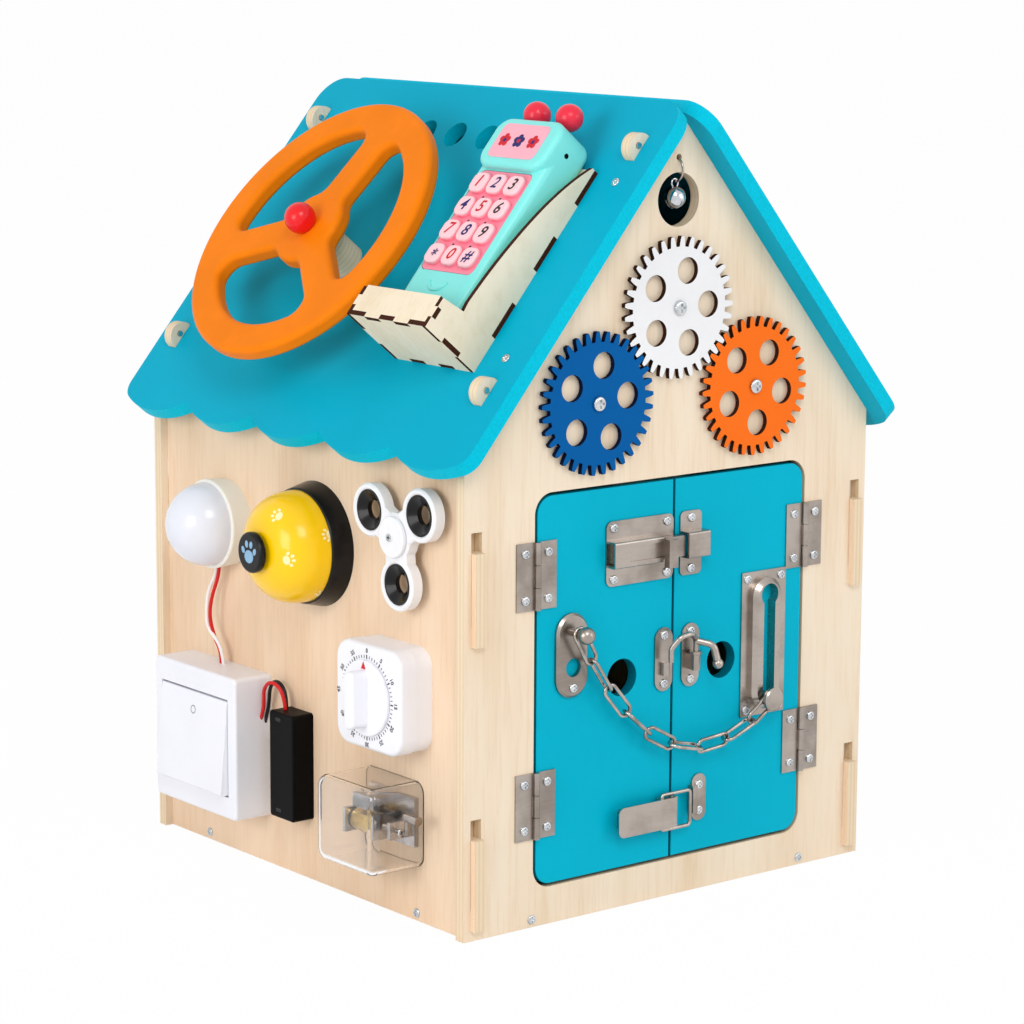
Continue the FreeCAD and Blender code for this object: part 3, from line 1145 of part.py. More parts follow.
# Spinner: three lobes with pressed-in weights, turning on a screwed cap
su, sv = -SPIN_Y, SPIN_Z
spin_top = SPIN_W + SPIN_T
lobe_places = []
for i in range(3):
    angle = math.radians(SPIN_TURN + 120 * i)
    lobe_places.append((su + SPIN_ARM * math.cos(angle), sv + SPIN_ARM * math.sin(angle)))
lobes = [rod(u, v, SPIN_LOBE_R, SPIN_W, spin_top) for u, v in lobe_places]
arms = []
for i in range(3):
    arm = box(0, SPIN_ARM, -SPIN_WAIST_R * 0.8, SPIN_WAIST_R * 0.8, SPIN_W, spin_top)
    arm.rotate(Vec(0, 0, 0), Vec(0, 0, 1), SPIN_TURN + 120 * i)
    arm.translate(Vec(su, sv, 0))
    arms.append(arm)
body = join(rod(su, sv, SPIN_HUB_R + 2.5, SPIN_W, spin_top), *(lobes + arms))
body = body.cut([rod(u, v, SPIN_WEIGHT_R, 0, 20) for u, v in lobe_places] + [rod(su, sv, SPIN_BORE_R, 0, 20)])
body = body.makeChamfer(0.9, [e for e in edges_at(body, spin_top) if e.Length > 3])
save("spinner_body", at(LEFT, body))
rings = []
for u, v in lobe_places:
    ring = rod(u, v, SPIN_WEIGHT_R, SPIN_W + 0.5, spin_top - 0.5).cut(rod(u, v, SPIN_WEIGHT_HOLE, 0, 20))
    dish = Part.makeCone(SPIN_WEIGHT_HOLE, SPIN_WEIGHT_R - 1.2, SPIN_DISH, Vec(u, v, spin_top - 0.5 - SPIN_DISH), Vec(0, 0, 1))
    ring = ring.cut(dish)
    rings.append(at(LEFT, ring))
save("spinner_weights", *rings)
axle = join(rod(su, sv, SPIN_CAP_R - 3, 0, SPIN_W - 0.4), rod(su, sv, SPIN_BORE_R - SPIN_RUN, 0, spin_top + 1),
            round_over(rod(su, sv, SPIN_CAP_R, spin_top + 0.4, spin_top + 2.6), spin_top + 2.6, 1.0))
axle = axle.cut(rod(su, sv, SHANK_R + SHANK_RUN, spin_top - 4, spin_top + 4))
spin_screw = screw(su, sv, spin_top + 2.6, 2.6, 1.0, 5.0)
save("spinner_axle", at(LEFT, axle), at(LEFT, spin_screw))

# Kitchen timer with a turning knob
tu, tv = -TIMER_Y, TIMER_Z
back_shell = plate(tu, tv, TIMER_SIZE - 1.0, TIMER_SIZE - 1.0, 0, TIMER_SEAM, TIMER_R)
front_shell = plate(tu, tv, TIMER_SIZE, TIMER_SIZE, TIMER_SEAM, TIMER_DEPTH, TIMER_R)
front_shell = round_over(front_shell, TIMER_DEPTH, 3.0)
shaft_bore = rod(tu, tv, DIAL_SHAFT_R + DIAL_RUN, TIMER_SEAM + 2, TIMER_DEPTH + 1)
save("timer_case", at(LEFT, back_shell), at(LEFT, front_shell.cut(shaft_bore)))
dial_w = TIMER_DEPTH + DIAL_GAP
bar_u, bar_v, bar_w = DIAL_BAR
knob_disc = rod(tu, tv, DIAL_R, dial_w, dial_w + DIAL_T)
grip = plate(tu, tv, bar_u, bar_v, dial_w + 0.5, dial_w + DIAL_T + bar_w, 3.9)
grip = round_over(grip, dial_w + DIAL_T + bar_w, 2.0)
shaft = rod(tu, tv, DIAL_SHAFT_R, TIMER_SEAM + 3, dial_w + 1)
save("timer_knob", at(LEFT, join(round_over(knob_disc, dial_w + DIAL_T, 0.8), grip, shaft)))

# Wall-type light switch with one rocker
wu, wv = -SWITCH_Y, SWITCH_Z
switch_box = plate(wu, wv, SWITCH_SIZE, SWITCH_SIZE, 0, SWITCH_DEPTH, SWITCH_R)
switch_box = round_over(switch_box, SWITCH_DEPTH, 2.0)
rk_u, rk_v, rk_w = ROCKER
well = box(wu - rk_u / 2 - ROCKER_GAP, wu + rk_u / 2 + ROCKER_GAP, wv - rk_v / 2 - ROCKER_GAP,
           wv + rk_v / 2 + ROCKER_GAP, SWITCH_DEPTH - 12, SWITCH_DEPTH + 1)
save("switch_box", at(LEFT, switch_box.cut(well)))
tilt_w = SWITCH_DEPTH - 3.0
half_v = rk_v / 2
slope_up = half_v * math.tan(math.radians(ROCKER_TILT))
profile = [Vec(wu - rk_u / 2, wv + half_v - 0.8, tilt_w - 1), Vec(wu - rk_u / 2, wv + half_v - 0.8, tilt_w + rk_w - slope_up),
           Vec(wu - rk_u / 2, wv - half_v + 0.8, tilt_w + rk_w + slope_up), Vec(wu - rk_u / 2, wv - half_v + 0.8, tilt_w + 1.5),
           Vec(wu - rk_u / 2, wv, tilt_w - 3)]
rocker = Part.Face(Part.makePolygon(profile + profile[:1])).extrude(Vec(rk_u, 0, 0))
long_edges = [e for e in upright_edges(rocker, Vec(1, 0, 0)) if e.BoundBox.ZMin > tilt_w + 2]
save("switch_rocker", at(LEFT, rocker.makeFillet(1.0, long_edges)))

# Battery case
au, av = -BATTERY_Y, BATTERY_Z
size_u, size_v, size_w = BATTERY_SIZE
battery = round_over(plate(au, av, size_u, size_v, 0, size_w, 2.0), size_w, 1.2)
save("battery_case", at(LEFT, battery))

# Music box: clear case, movement, pinned cylinder and hand crank
mu, mv = -MUSIC_Y, MUSIC_Z
size_u, size_v, size_w = MUSIC_SIZE
clear = round_over(plate(mu, mv, size_u, size_v, 0, size_w, MUSIC_R), size_w, 5.0)
hollow = plate(mu, mv, size_u - 2 * MUSIC_WALL, size_v - 2 * MUSIC_WALL, -1, size_w - MUSIC_WALL, MUSIC_R - MUSIC_WALL)
hollow = round_over(hollow, size_w - MUSIC_WALL, 3.4)
crank_hole = rod_u(CRANK_Z, CRANK_W, CRANK_R + 1.2, mu + size_u / 2 - 5, mu + size_u / 2 + 2)
save("music_case", at(LEFT, clear.cut([hollow, crank_hole])))
bed = box(mu - 20, mu + 22, mv - 13, mv + 15, 0.05, 3.0)
bed = join(bed, box(mu - 18, mu - 15.5, mv - 9, mv + 5, 2.5, 22), box(mu + 6.5, mu + 9, mv - 9, mv + 5, 2.5, 22),
           box(mu - 14, mu + 5, mv + 9.5, mv + 14, 2.5, 17.5),
           box(mu + 18.5, mu + 21, CRANK_Z - 5, CRANK_Z + 5, 2.5, CRANK_W + 4))
cyl_v, cyl_w = mv - 2.0, 13.0
bed = bed.cut([rod_u(cyl_v, cyl_w, 1.5 + PIN_RUN, mu - 19, mu + 10),
               rod_u(CRANK_Z, CRANK_W, CRANK_R + PIN_RUN, mu + 18, mu + 22)])
comb = box(mu - 13, mu + 4, mv + 6.5, mv + 14, 17.6, 18.8)
teeth = [box(mu - 12.3 + i, mu - 11.9 + i, mv + 6, mv + 12, 17, 19.5) for i in range(16)]
save("music_movement", at(LEFT, bed), at(LEFT, comb.cut(teeth)))
drum = join(rod_u(cyl_v, cyl_w, CYL_R, mu - 14.5, mu - 14.5 + CYL_L), rod_u(cyl_v, cyl_w, 1.5, mu - 18.5, mu + 9))
pins = []
for i in range(40):
    angle = math.radians(i * 137.5)
    across = mu - 12 + (i * 7 % 16)
    pin = Part.makeCylinder(0.25, 0.6, Vec(across, cyl_v + (CYL_R - 0.1) * math.cos(angle),
                                           cyl_w + (CYL_R - 0.1) * math.sin(angle)),
                            Vec(0, math.cos(angle), math.sin(angle)))
    pins.append(pin)
save("music_cylinder", at(LEFT, join(drum, *pins)))
CRANK_END = mu + size_u / 2 + 4.0
worm = rod_u(CRANK_Z, CRANK_W, 2.4, mu + 11, mu + 16)
spindle = rod_u(CRANK_Z, CRANK_W, CRANK_R, mu + 11, CRANK_END)
arm = rod_v(CRANK_END, CRANK_W, CRANK_R, CRANK_Z, CRANK_Z + CRANK_ARM)
grip = rod_u(CRANK_Z + CRANK_ARM, CRANK_W, 2.6, CRANK_END - 0.5, CRANK_END + CRANK_OUT - 5)
elbow = Part.makeSphere(CRANK_R, Vec(CRANK_END, CRANK_Z, CRANK_W))
save("music_crank", at(LEFT, join(worm, spindle, arm, grip, elbow)))

# Wires: red and white from the lamp to the switch, red and black from the battery case
lamp_foot = LAMP_Z - LAMP_R + 1.6
switch_top = SWITCH_Z + SWITCH_SIZE / 2 - 0.8
port_u = wu + 2
red_route = [(lu + 1.2, lamp_foot, WIRE_W), (lu + 1.0, 169.0, WIRE_W), (lu - 4.5, 155.0, WIRE_W + 2),
             (lu - 5.5, 143.0, WIRE_W + 3), (lu - 3.5, 131.0, WIRE_W + 1), (port_u - 1.2, 122.0, WIRE_W),
             (port_u - 1.2, switch_top, WIRE_W)]
white_route = [(lu - 1.2, lamp_foot, WIRE_W), (lu - 1.5, 170.0, WIRE_W), (lu - 9.5, 158.0, WIRE_W + 1),
               (lu - 11.5, 146.0, WIRE_W + 1), (lu - 8.0, 136.0, WIRE_W + 3), (port_u + 1.6, 126.0, WIRE_W + 1),
               (port_u + 1.2, switch_top, WIRE_W)]
battery_top = BATTERY_Z + BATTERY_SIZE[1] / 2 - 0.8
side_u = wu + SWITCH_SIZE / 2 - 0.8
red_loop = [(au - 5.8, battery_top, WIRE_W), (au - 6.0, battery_top + 8.0, WIRE_W + 1),
            (au - 10.5, battery_top + 14.6, WIRE_W + 2), (au - 18.3, battery_top + 15.6, WIRE_W + 3),
            (au - 24.0, battery_top + 10.0, WIRE_W + 3), (au - 25.3, battery_top + 2.4, WIRE_W + 2),
            (au - 27.3, battery_top - 3.6, WIRE_W + 1), (side_u, battery_top - 9.6, WIRE_W)]
black_loop = [(au - 9.2, battery_top, WIRE_W - 3), (au - 9.4, battery_top + 7.6, WIRE_W - 3),
              (au - 13.4, battery_top + 14.2, WIRE_W - 2.6), (au - 21.0, battery_top + 15.0, WIRE_W - 2.6),
              (au - 26.2, battery_top + 9.4, WIRE_W - 2.8), (au - 27.2, battery_top + 1.8, WIRE_W - 3),
              (au - 28.8, battery_top - 5.2, WIRE_W - 3), (side_u, battery_top - 12.2, WIRE_W - 3)]
wires = {}
for name, route in (("red", red_route), ("white", white_route), ("loop red", red_loop), ("loop black", black_loop)):
    solid, length, tightest = tube(route, WIRE_R, 0)
    section = math.pi * WIRE_R ** 2
    print("wire %-10s length %6.1f mm, volume over section %6.1f mm, tightest arc %4.1f mm"
          % (name, length, solid.Volume / section, tightest))
    wires[name] = at(LEFT, solid)
save("wires", *wires.values())
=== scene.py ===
# %% [markdown]
# # Dressing a wooden busy house
# The house is already built as a frame of solids that fit and move. This lesson keeps every shape that
# is right, gives each one a finish made from nodes, and adds what a solid model leaves out: wires that
# hang, printed digits, dial marks, paw prints and a floor to stand on.

# %% Load the frame
import math
import bpy
from mathutils import Matrix, Vector


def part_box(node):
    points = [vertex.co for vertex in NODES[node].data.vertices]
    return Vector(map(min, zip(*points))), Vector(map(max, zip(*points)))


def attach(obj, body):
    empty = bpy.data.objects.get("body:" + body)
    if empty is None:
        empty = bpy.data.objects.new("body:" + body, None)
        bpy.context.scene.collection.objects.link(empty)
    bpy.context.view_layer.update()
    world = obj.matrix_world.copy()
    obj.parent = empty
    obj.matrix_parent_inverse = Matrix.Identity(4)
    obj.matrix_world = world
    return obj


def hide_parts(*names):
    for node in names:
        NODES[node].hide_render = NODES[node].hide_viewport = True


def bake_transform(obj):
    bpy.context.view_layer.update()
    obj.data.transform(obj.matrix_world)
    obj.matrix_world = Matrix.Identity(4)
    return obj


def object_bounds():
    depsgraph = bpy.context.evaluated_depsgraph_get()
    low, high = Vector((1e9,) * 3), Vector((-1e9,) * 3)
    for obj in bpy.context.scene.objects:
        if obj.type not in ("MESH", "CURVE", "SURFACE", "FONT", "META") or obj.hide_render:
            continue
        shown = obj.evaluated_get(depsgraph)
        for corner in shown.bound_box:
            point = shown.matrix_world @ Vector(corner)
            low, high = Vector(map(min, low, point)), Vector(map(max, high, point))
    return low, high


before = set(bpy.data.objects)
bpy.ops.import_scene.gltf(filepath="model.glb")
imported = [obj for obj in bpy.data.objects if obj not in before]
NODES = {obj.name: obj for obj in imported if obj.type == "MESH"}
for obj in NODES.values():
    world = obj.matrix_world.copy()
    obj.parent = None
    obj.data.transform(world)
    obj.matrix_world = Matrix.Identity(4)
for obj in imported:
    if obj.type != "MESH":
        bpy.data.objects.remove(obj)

cad_box = [list(corner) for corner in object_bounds()]

# %% [markdown]
# ## The camera
# A long lens far away keeps the house's upright lines nearly parallel, as in a catalogue picture. The
# place and the turn are worked out from the two ground edges and the roof's ridge, then written as
# numbers. The camera's own axes are built from its heading, its tilt and a very small roll.

# %% Camera
EYE = Vector((-1.21693537, -1.53329209, 0.55795564))
HEADING, TILT, ROLL = 0.673072769, -0.179721158, 0.00504912

bpy.ops.object.camera_add()
camera = bpy.context.object
camera.name = "camera"
camera.data.lens = 116.12
camera.data.sensor_width = 36.0
camera.data.clip_end = 200.0
forward = Vector((math.sin(HEADING) * math.cos(TILT), math.cos(HEADING) * math.cos(TILT), math.sin(TILT)))
right = Vector((math.cos(HEADING), -math.sin(HEADING), 0.0))
above = right.cross(forward)
level = math.cos(ROLL) * right + math.sin(ROLL) * above
upward = math.cos(ROLL) * above - math.sin(ROLL) * right
camera.matrix_world = Matrix.Translation(EYE) @ Matrix((level, upward, -forward)).transposed().to_4x4()
bpy.context.scene.camera = camera
print("camera looks along", [round(v, 3) for v in forward])

# %% [markdown]
# ## Two drawing boards
# The pieces that are added here sit on the left wall or on the left roof. It is easier to think of a
# face as a drawing board, with u to the right, v up and w out of it. Each board is a matrix that carries
# a point from the board into the room.

# %% Boards
GABLE_RISE, GABLE_RUN = 180.0, 150.0
SLOPE = math.atan2(GABLE_RISE, GABLE_RUN)
ROOF_UP = Vector((math.cos(SLOPE), 0.0, math.sin(SLOPE)))
ROOF_OUT = Vector((-math.sin(SLOPE), 0.0, math.cos(SLOPE)))


def board(corner, across, up, out):
    turned = Matrix((across, up, out)).transposed().to_4x4()
    return Matrix.Translation(corner) @ turned


WALL_X, RIDGE = -0.145, 0.45
LEFT_WALL = board(Vector((WALL_X, 0, 0)), Vector((0, -1, 0)), Vector((0, 0, 1)), Vector((-1, 0, 0)))
LEFT_ROOF = board(Vector((0, 0, RIDGE)), Vector((0, -1, 0)), ROOF_UP, ROOF_OUT)
mm = 0.001
print("roof slope", round(math.degrees(SLOPE), 1), "degrees")

# %% [markdown]
# ## Wires
# Four thin soft wires hang free: a red and a white one from the lamp to the switch, and a red and a
# black loop from the battery case to the switch. A wire is a round section swept along one smooth
# line, so each is a NURBS curve with the route's points as its control points. The order is set after
# the points, or the line would stay straight between them. The thickness is each point's radius, so
# that the curve's own box is no larger than the wire.

# %% Wire routes
LAMP_U, LAMP_FOOT, SWITCH_TOP, PORT_U = -82.7, 175.3, 114.7, -79.0
CASE_U, CASE_TOP, SWITCH_SIDE = -7.2, 99.25, -38.8
WIRE_R = 1.1
wire_routes = {
    "wire_red": [(LAMP_U + 1.2, LAMP_FOOT, 7), (LAMP_U + 1.0, 169, 7), (LAMP_U - 4.5, 155, 9),
                 (LAMP_U - 5.5, 143, 10), (LAMP_U - 3.5, 131, 8), (PORT_U - 1.2, 122, 7),
                 (PORT_U - 1.2, SWITCH_TOP, 7)],
    "wire_white": [(LAMP_U - 1.2, LAMP_FOOT, 7), (LAMP_U - 1.5, 170, 7), (LAMP_U - 9.5, 158, 8),
                   (LAMP_U - 11.5, 146, 8), (LAMP_U - 8.0, 136, 10), (PORT_U + 1.6, 126, 8),
                   (PORT_U + 1.2, SWITCH_TOP, 7)],
    "battery_wire_red": [(CASE_U - 5.8, CASE_TOP, 7), (CASE_U - 6.0, CASE_TOP + 8, 8),
                         (CASE_U - 10.5, CASE_TOP + 14.6, 9), (CASE_U - 18.3, CASE_TOP + 15.6, 10),
                         (CASE_U - 24, CASE_TOP + 10, 10), (CASE_U - 25.3, CASE_TOP + 2.4, 9),
                         (CASE_U - 27.3, CASE_TOP - 3.6, 8), (SWITCH_SIDE, CASE_TOP - 9.6, 7)],
    "battery_wire_black": [(CASE_U - 9.2, CASE_TOP, 4), (CASE_U - 9.4, CASE_TOP + 7.6, 4),
                           (CASE_U - 13.4, CASE_TOP + 14.2, 4.4), (CASE_U - 21, CASE_TOP + 15, 4.4),
                           (CASE_U - 26.2, CASE_TOP + 9.4, 4.2), (CASE_U - 27.2, CASE_TOP + 1.8, 4),
                           (CASE_U - 28.8, CASE_TOP - 5.2, 4), (SWITCH_SIDE, CASE_TOP - 12.2, 4)],
}


# %% Draw the wires
def wire_along(name, route):
    line = bpy.data.curves.new(name, "CURVE")
    line.dimensions = "3D"
    spline = line.splines.new("NURBS")
    spline.points.add(len(route) - 1)
    for point, place in zip(spline.points, route):
        point.co = (LEFT_WALL @ (Vector(place) * mm)).to_4d()
        point.radius = WIRE_R * mm
    spline.order_u = 3
    spline.use_endpoint_u = True
    spline.resolution_u = 12
    line.bevel_depth = 1.0
    line.bevel_resolution = 5
    line.use_fill_caps = True
    wire = bpy.data.objects.new(name, line)
    bpy.context.scene.collection.objects.link(wire)
    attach(wire, "house")
    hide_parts("wires")
    return wire


wires = {name: wire_along(name, route) for name, route in wire_routes.items()}
print("wires", sorted(wires))

# %% [markdown]
# ## Sums with sockets
# A finish is a sum: grain times a bit of colour, plus dirt, minus shine. Written as node links that
# sum is hard to read, so one small class wraps a socket and lets Python's own signs add the Math
# nodes. Its one other method adds any node at all.

# %% Socket sums
class Tone:
    """What comes out of a node's socket."""

    def __init__(self, tree, socket):
        self.tree = tree
        self.socket = socket

    def node(self, kind, settings, inputs, out=0):
        made = self.tree.nodes.new("ShaderNode" + kind)
        for key, value in settings.items():
            if key == "stops":
                for stop, (at, colour) in zip(made.color_ramp.elements, value):
                    stop.position = at
                    stop.color = (*colour, 1.0)
            else:
                setattr(made, key, value)
        for key, value in inputs.items():
            if isinstance(value, Tone):
                self.tree.links.new(value.socket, made.inputs[key])
            else:
                made.inputs[key].default_value = value
        return Tone(self.tree, made.outputs[out])

    def sum(self, sign, first, second):
        return self.node("Math", {"operation": sign}, {0: first, 1: second})

    def __add__(self, other):
        return self.sum("ADD", self, other)

    def __radd__(self, other):
        return self.sum("ADD", other, self)

    def __sub__(self, other):
        return self.sum("SUBTRACT", self, other)

    def __rsub__(self, other):
        return self.sum("SUBTRACT", other, self)

    def __mul__(self, other):
        return self.sum("MULTIPLY", self, other)

    def __rmul__(self, other):
        return self.sum("MULTIPLY", other, self)

    def __lt__(self, other):
        return self.sum("LESS_THAN", self, other)


# %% Tools for finishes
def pigment(red, green, blue):
    """A colour as a screen shows it, 0 to 255, turned into light."""
    light = []
    for part in (red, green, blue):
        part = part / 255.0
        light.append(part / 12.92 if part <= 0.04045 else ((part + 0.055) / 1.055) ** 2.4)
    return tuple(light)


def blank_finish(name, shine):
    finish = bpy.data.materials.new(name)
    finish.use_nodes = True
    shader = finish.node_tree.nodes["Principled BSDF"]
    for key, value in shine.items():
        shader.inputs[key].default_value = value
    start = Tone(finish.node_tree, None)
    place = start.node("TexCoord", {}, {}, "Object")
    return finish, shader, place


def stretch(place, scale, turn=(0, 0, 0)):
    return place.node("Mapping", {}, {"Vector": place, "Rotation": turn, "Scale": scale})


def noise(place, scale, detail=3.0, roughness=0.55):
    return place.node("TexNoise", {}, {"Vector": place, "Scale": scale, "Detail": detail,
                                       "Roughness": roughness}, "Fac")


def blend_colours(amount, first, second):
    first = first if isinstance(first, Tone) else (*first, 1.0)
    second = second if isinstance(second, Tone) else (*second, 1.0)
    return amount.node("Mix", {"data_type": "RGBA"}, {0: amount, 6: first, 7: second}, 2)


def eased(value, low, high):
    """0 below low, 1 above high and smooth in between."""
    return value.node("MapRange", {"interpolation_type": "SMOOTHSTEP"},
                      {"Value": value, "From Min": low, "From Max": high})


def along(place, direction):
    return place.node("VectorMath", {"operation": "DOT_PRODUCT"}, {0: place, 1: direction}, "Value")


def facing(place, direction):
    """1 where the surface faces that way or straight away from it."""
    look = along(place.node("NewGeometry", {}, {}, "Normal"), direction)
    return look.node("Math", {"operation": "ABSOLUTE"}, {0: look})


def dent(place, height, depth, shader, strength=1.0):
    bump = place.node("Bump", {}, {"Height": height, "Distance": depth, "Strength": strength})
    place.tree.links.new(bump.socket, shader.inputs["Normal"])


def feed(shader, **tones):
    for key, tone in tones.items():
        tone.tree.links.new(tone.socket, shader.inputs[key.replace("_", " ")])


print("shader tools ready")

# %% [markdown]
# ## Birch plywood
# The walls are laser-cut birch ply, sanded and clear-coated matt. The face shows fine upright grain
# with slow, warm clouds and a few short darker flecks. A cut edge shows the plies as thin lines. The
# same recipe works for each sheet, told which way is through the sheet and which way the grain runs,
# and it tells a face from an edge by the way that the surface looks. With no way through, it is all
# face.

# %% Plywood finish
BIRCH_FACE, BIRCH_WARM = pigment(242, 225, 202), pigment(226, 198, 164)
BIRCH_EDGE, BIRCH_LINE = pigment(236, 216, 186), pigment(196, 160, 120)


def birch_ply(name, through, grain, face=BIRCH_FACE, warm=BIRCH_WARM, edge=BIRCH_EDGE, line=BIRCH_LINE,
              ply=1.4 * mm):
    finish, shader, place = blank_finish(name, {"Roughness": 0.55, "Specular IOR Level": 0.08})
    squeeze = [1.0 - 0.94 * abs(part) for part in grain]
    fibres = stretch(place, squeeze)
    streaks = noise(fibres, 420.0, 4.0, 0.6)
    wide = noise(stretch(place, [1.0 - 0.8 * abs(part) for part in grain]), 26.0, 3.0)
    flecks = eased(noise(stretch(place, squeeze), 900.0, 2.0), 0.66, 0.74)
    tint = eased(wide, 0.35, 0.75) * 0.55 + eased(streaks, 0.45, 0.7) * 0.28 + flecks * 0.18
    face_colour = blend_colours(tint, face, warm)
    if through is None:
        feed(shader, Base_Color=face_colour, Roughness=0.50 + streaks * 0.14)
        dent(place, streaks, 0.00012, shader, 0.5)
        return finish
    depth = along(place, through) * (math.pi / ply)
    layers = depth.node("Math", {"operation": "SINE"}, {0: depth})
    edge_colour = blend_colours(eased(layers, -0.2, 0.6) * 0.22 + streaks * 0.1, edge, line)
    on_edge = facing(place, through) < 0.75
    feed(shader, Base_Color=blend_colours(on_edge, face_colour, edge_colour),
         Roughness=0.50 + streaks * 0.14)
    dent(place, streaks, 0.00012, shader, 0.5)
    return finish


X, Y, Z = (1.0, 0.0, 0.0), (0.0, 1.0, 0.0), (0.0, 0.0, 1.0)
gable_ply = birch_ply("gable_ply", Y, Z)
# The side panels get a darker, warmer copy of the birch: painted shade on the side walls.
shaded_side_ply = birch_ply("shaded_side_ply", X, Z, pigment(240, 214, 186), pigment(222, 186, 150))
base_ply = birch_ply("base_ply", Z, X)
post_ply = birch_ply("post_ply", tuple(ROOF_OUT), Y)
print("plywood finishes", gable_ply.name, shaded_side_ply.name)

# %% [markdown]
# ## Painted plywood
# The roof and the doors are sprayed turquoise. Paint fills the wood but lets a little of the grain
# through as ripples, dries unevenly, and takes another tone on the cut edges, lighter on the roof and
# darker on the doors. The gears have the same paint on thin ply, but they were cut after painting, so
# their teeth show burnt brown wood.

# %% Paint finishes
def painted_ply(name, through, grain, paint, edge, soot=0.0, rough=0.42):
    finish, shader, place = blank_finish(name, {"Roughness": rough, "Specular IOR Level": 0.05})
    ripples = noise(stretch(place, [1.0 - 0.9 * abs(part) for part in grain]), 260.0, 4.0)
    clouds = noise(place, 9.0, 4.0)
    deep = tuple(part * 0.90 for part in paint)
    face_colour = blend_colours(eased(clouds, 0.3, 0.75) * 0.7 + ripples * 0.25, paint, deep)
    char = noise(place, 700.0, 3.0)
    scorched = tuple(part * 0.55 for part in edge)
    edge_colour = blend_colours(eased(char, 0.35, 0.7) * (0.25 + soot), edge, scorched)
    on_edge = facing(place, through) < 0.75
    feed(shader, Base_Color=blend_colours(on_edge, face_colour, edge_colour),
         Roughness=rough - 0.06 + clouds * 0.14 + on_edge * (0.08 + soot * 0.3))
    dent(place, ripples + char * 0.25, 0.00010, shader, 0.45)
    return finish


TURQUOISE, TURQUOISE_EDGE = pigment(0, 176, 208), pigment(0, 194, 222)
BURNT = pigment(58, 32, 22)
# The left slope's paint is a little deeper than the right slope's: painted shade on the left roof.
shaded_left_roof_paint = painted_ply("shaded_left_roof_paint", tuple(ROOF_OUT), Y, pigment(0, 171, 202), TURQUOISE_EDGE)
RIGHT_ROOF_OUT = (-ROOF_OUT.x, 0.0, ROOF_OUT.z)
right_roof_paint = painted_ply("right_roof_paint", RIGHT_ROOF_OUT, Y, TURQUOISE, TURQUOISE_EDGE)
door_paint = painted_ply("door_paint", Y, Z, pigment(0, 180, 208), pigment(0, 120, 142))
white_gear_paint = painted_ply("white_gear_paint", Y, Z, pigment(240, 240, 242), BURNT, 0.5)
blue_gear_paint = painted_ply("blue_gear_paint", Y, Z, pigment(0, 92, 162), pigment(12, 24, 56), 0.5)
orange_gear_paint = painted_ply("orange_gear_paint", Y, Z, pigment(252, 116, 30), BURNT, 0.5)
print("paint finishes made")

# %% [markdown]
# ## Metals
# The latches, hinges and the chain are nickel-plated steel pressings: satin, a little warm, with fine
# brushing and small dull patches. The screw heads are bright zinc. Metal shows mostly what is around
# it, so the variation goes into the roughness, and the colour only drifts.

# %% Metal finishes
def plated(name, light, dull, rough, brushing, patches=35.0):
    finish, shader, place = blank_finish(name, {"Metallic": 1.0, "Roughness": rough})
    lines = noise(stretch(place, brushing), 600.0, 3.0)
    cloud = noise(place, patches, 4.0)
    tint = eased(cloud, 0.35, 0.7) * 0.7 + lines * 0.3
    feed(shader, Base_Color=blend_colours(tint, light, dull),
         Roughness=rough - 0.07 + cloud * 0.14 + lines * 0.08)
    dent(place, lines, 0.00005, shader, 0.35)
    return finish


nickel = plated("satin_nickel", pigment(188, 178, 170), pigment(136, 126, 118), 0.26, (0.12, 1.0, 1.0))
chain_nickel = plated(
    "chain_nickel", pigment(196, 186, 178), pigment(120, 112, 104), 0.18, (1.0, 1.0, 1.0), 90.0)
zinc = plated("bright_zinc", pigment(222, 224, 226), pigment(176, 180, 184), 0.18, (1.0, 1.0, 1.0), 180.0)
chrome = plated("bell_chrome", pigment(232, 234, 238), pigment(170, 174, 182), 0.06, (1.0, 1.0, 1.0), 60.0)
movement_steel = plated(
    "movement_steel", pigment(206, 204, 204), pigment(128, 126, 128), 0.22, (1.0, 0.15, 1.0))
drum_brass = plated("drum_brass", pigment(226, 196, 120), pigment(170, 132, 70), 0.24, (1.0, 0.1, 1.0))
print("metal finishes made")

# %% [markdown]
# ## Plastics and enamel
# Moulded parts are smooth but never dead flat: the gloss and the colour drift, and tiny pores catch the
# light. One recipe makes them all, told its colour, its gloss and how deep its skin is. Dark and strong
# colours get little shine, because white all round them would wash them out.

# %% Plastic finishes
def moulded(name, colour, rough, drift=0.06, skin=0.00003, coat=0.0, pores=1500.0, see_through=0.0,
            shine=0.3):
    finish, shader, place = blank_finish(name, {
        "Roughness": rough, "Coat Weight": coat, "Coat Roughness": 0.08,
        "Transmission Weight": see_through, "IOR": 1.49,
        "Specular IOR Level": shine})
    slow = noise(place, 28.0, 3.0)
    fine = noise(place, pores, 2.0)
    deep = tuple(part * (1.0 - drift) for part in colour)
    feed(shader, Base_Color=blend_colours(eased(slow, 0.3, 0.7) * 0.8 + fine * 0.2, colour, deep),
         Roughness=rough - 0.03 + slow * 0.05 + fine * 0.04)
    dent(place, fine + slow * 0.5, skin, shader, 0.5)
    return finish


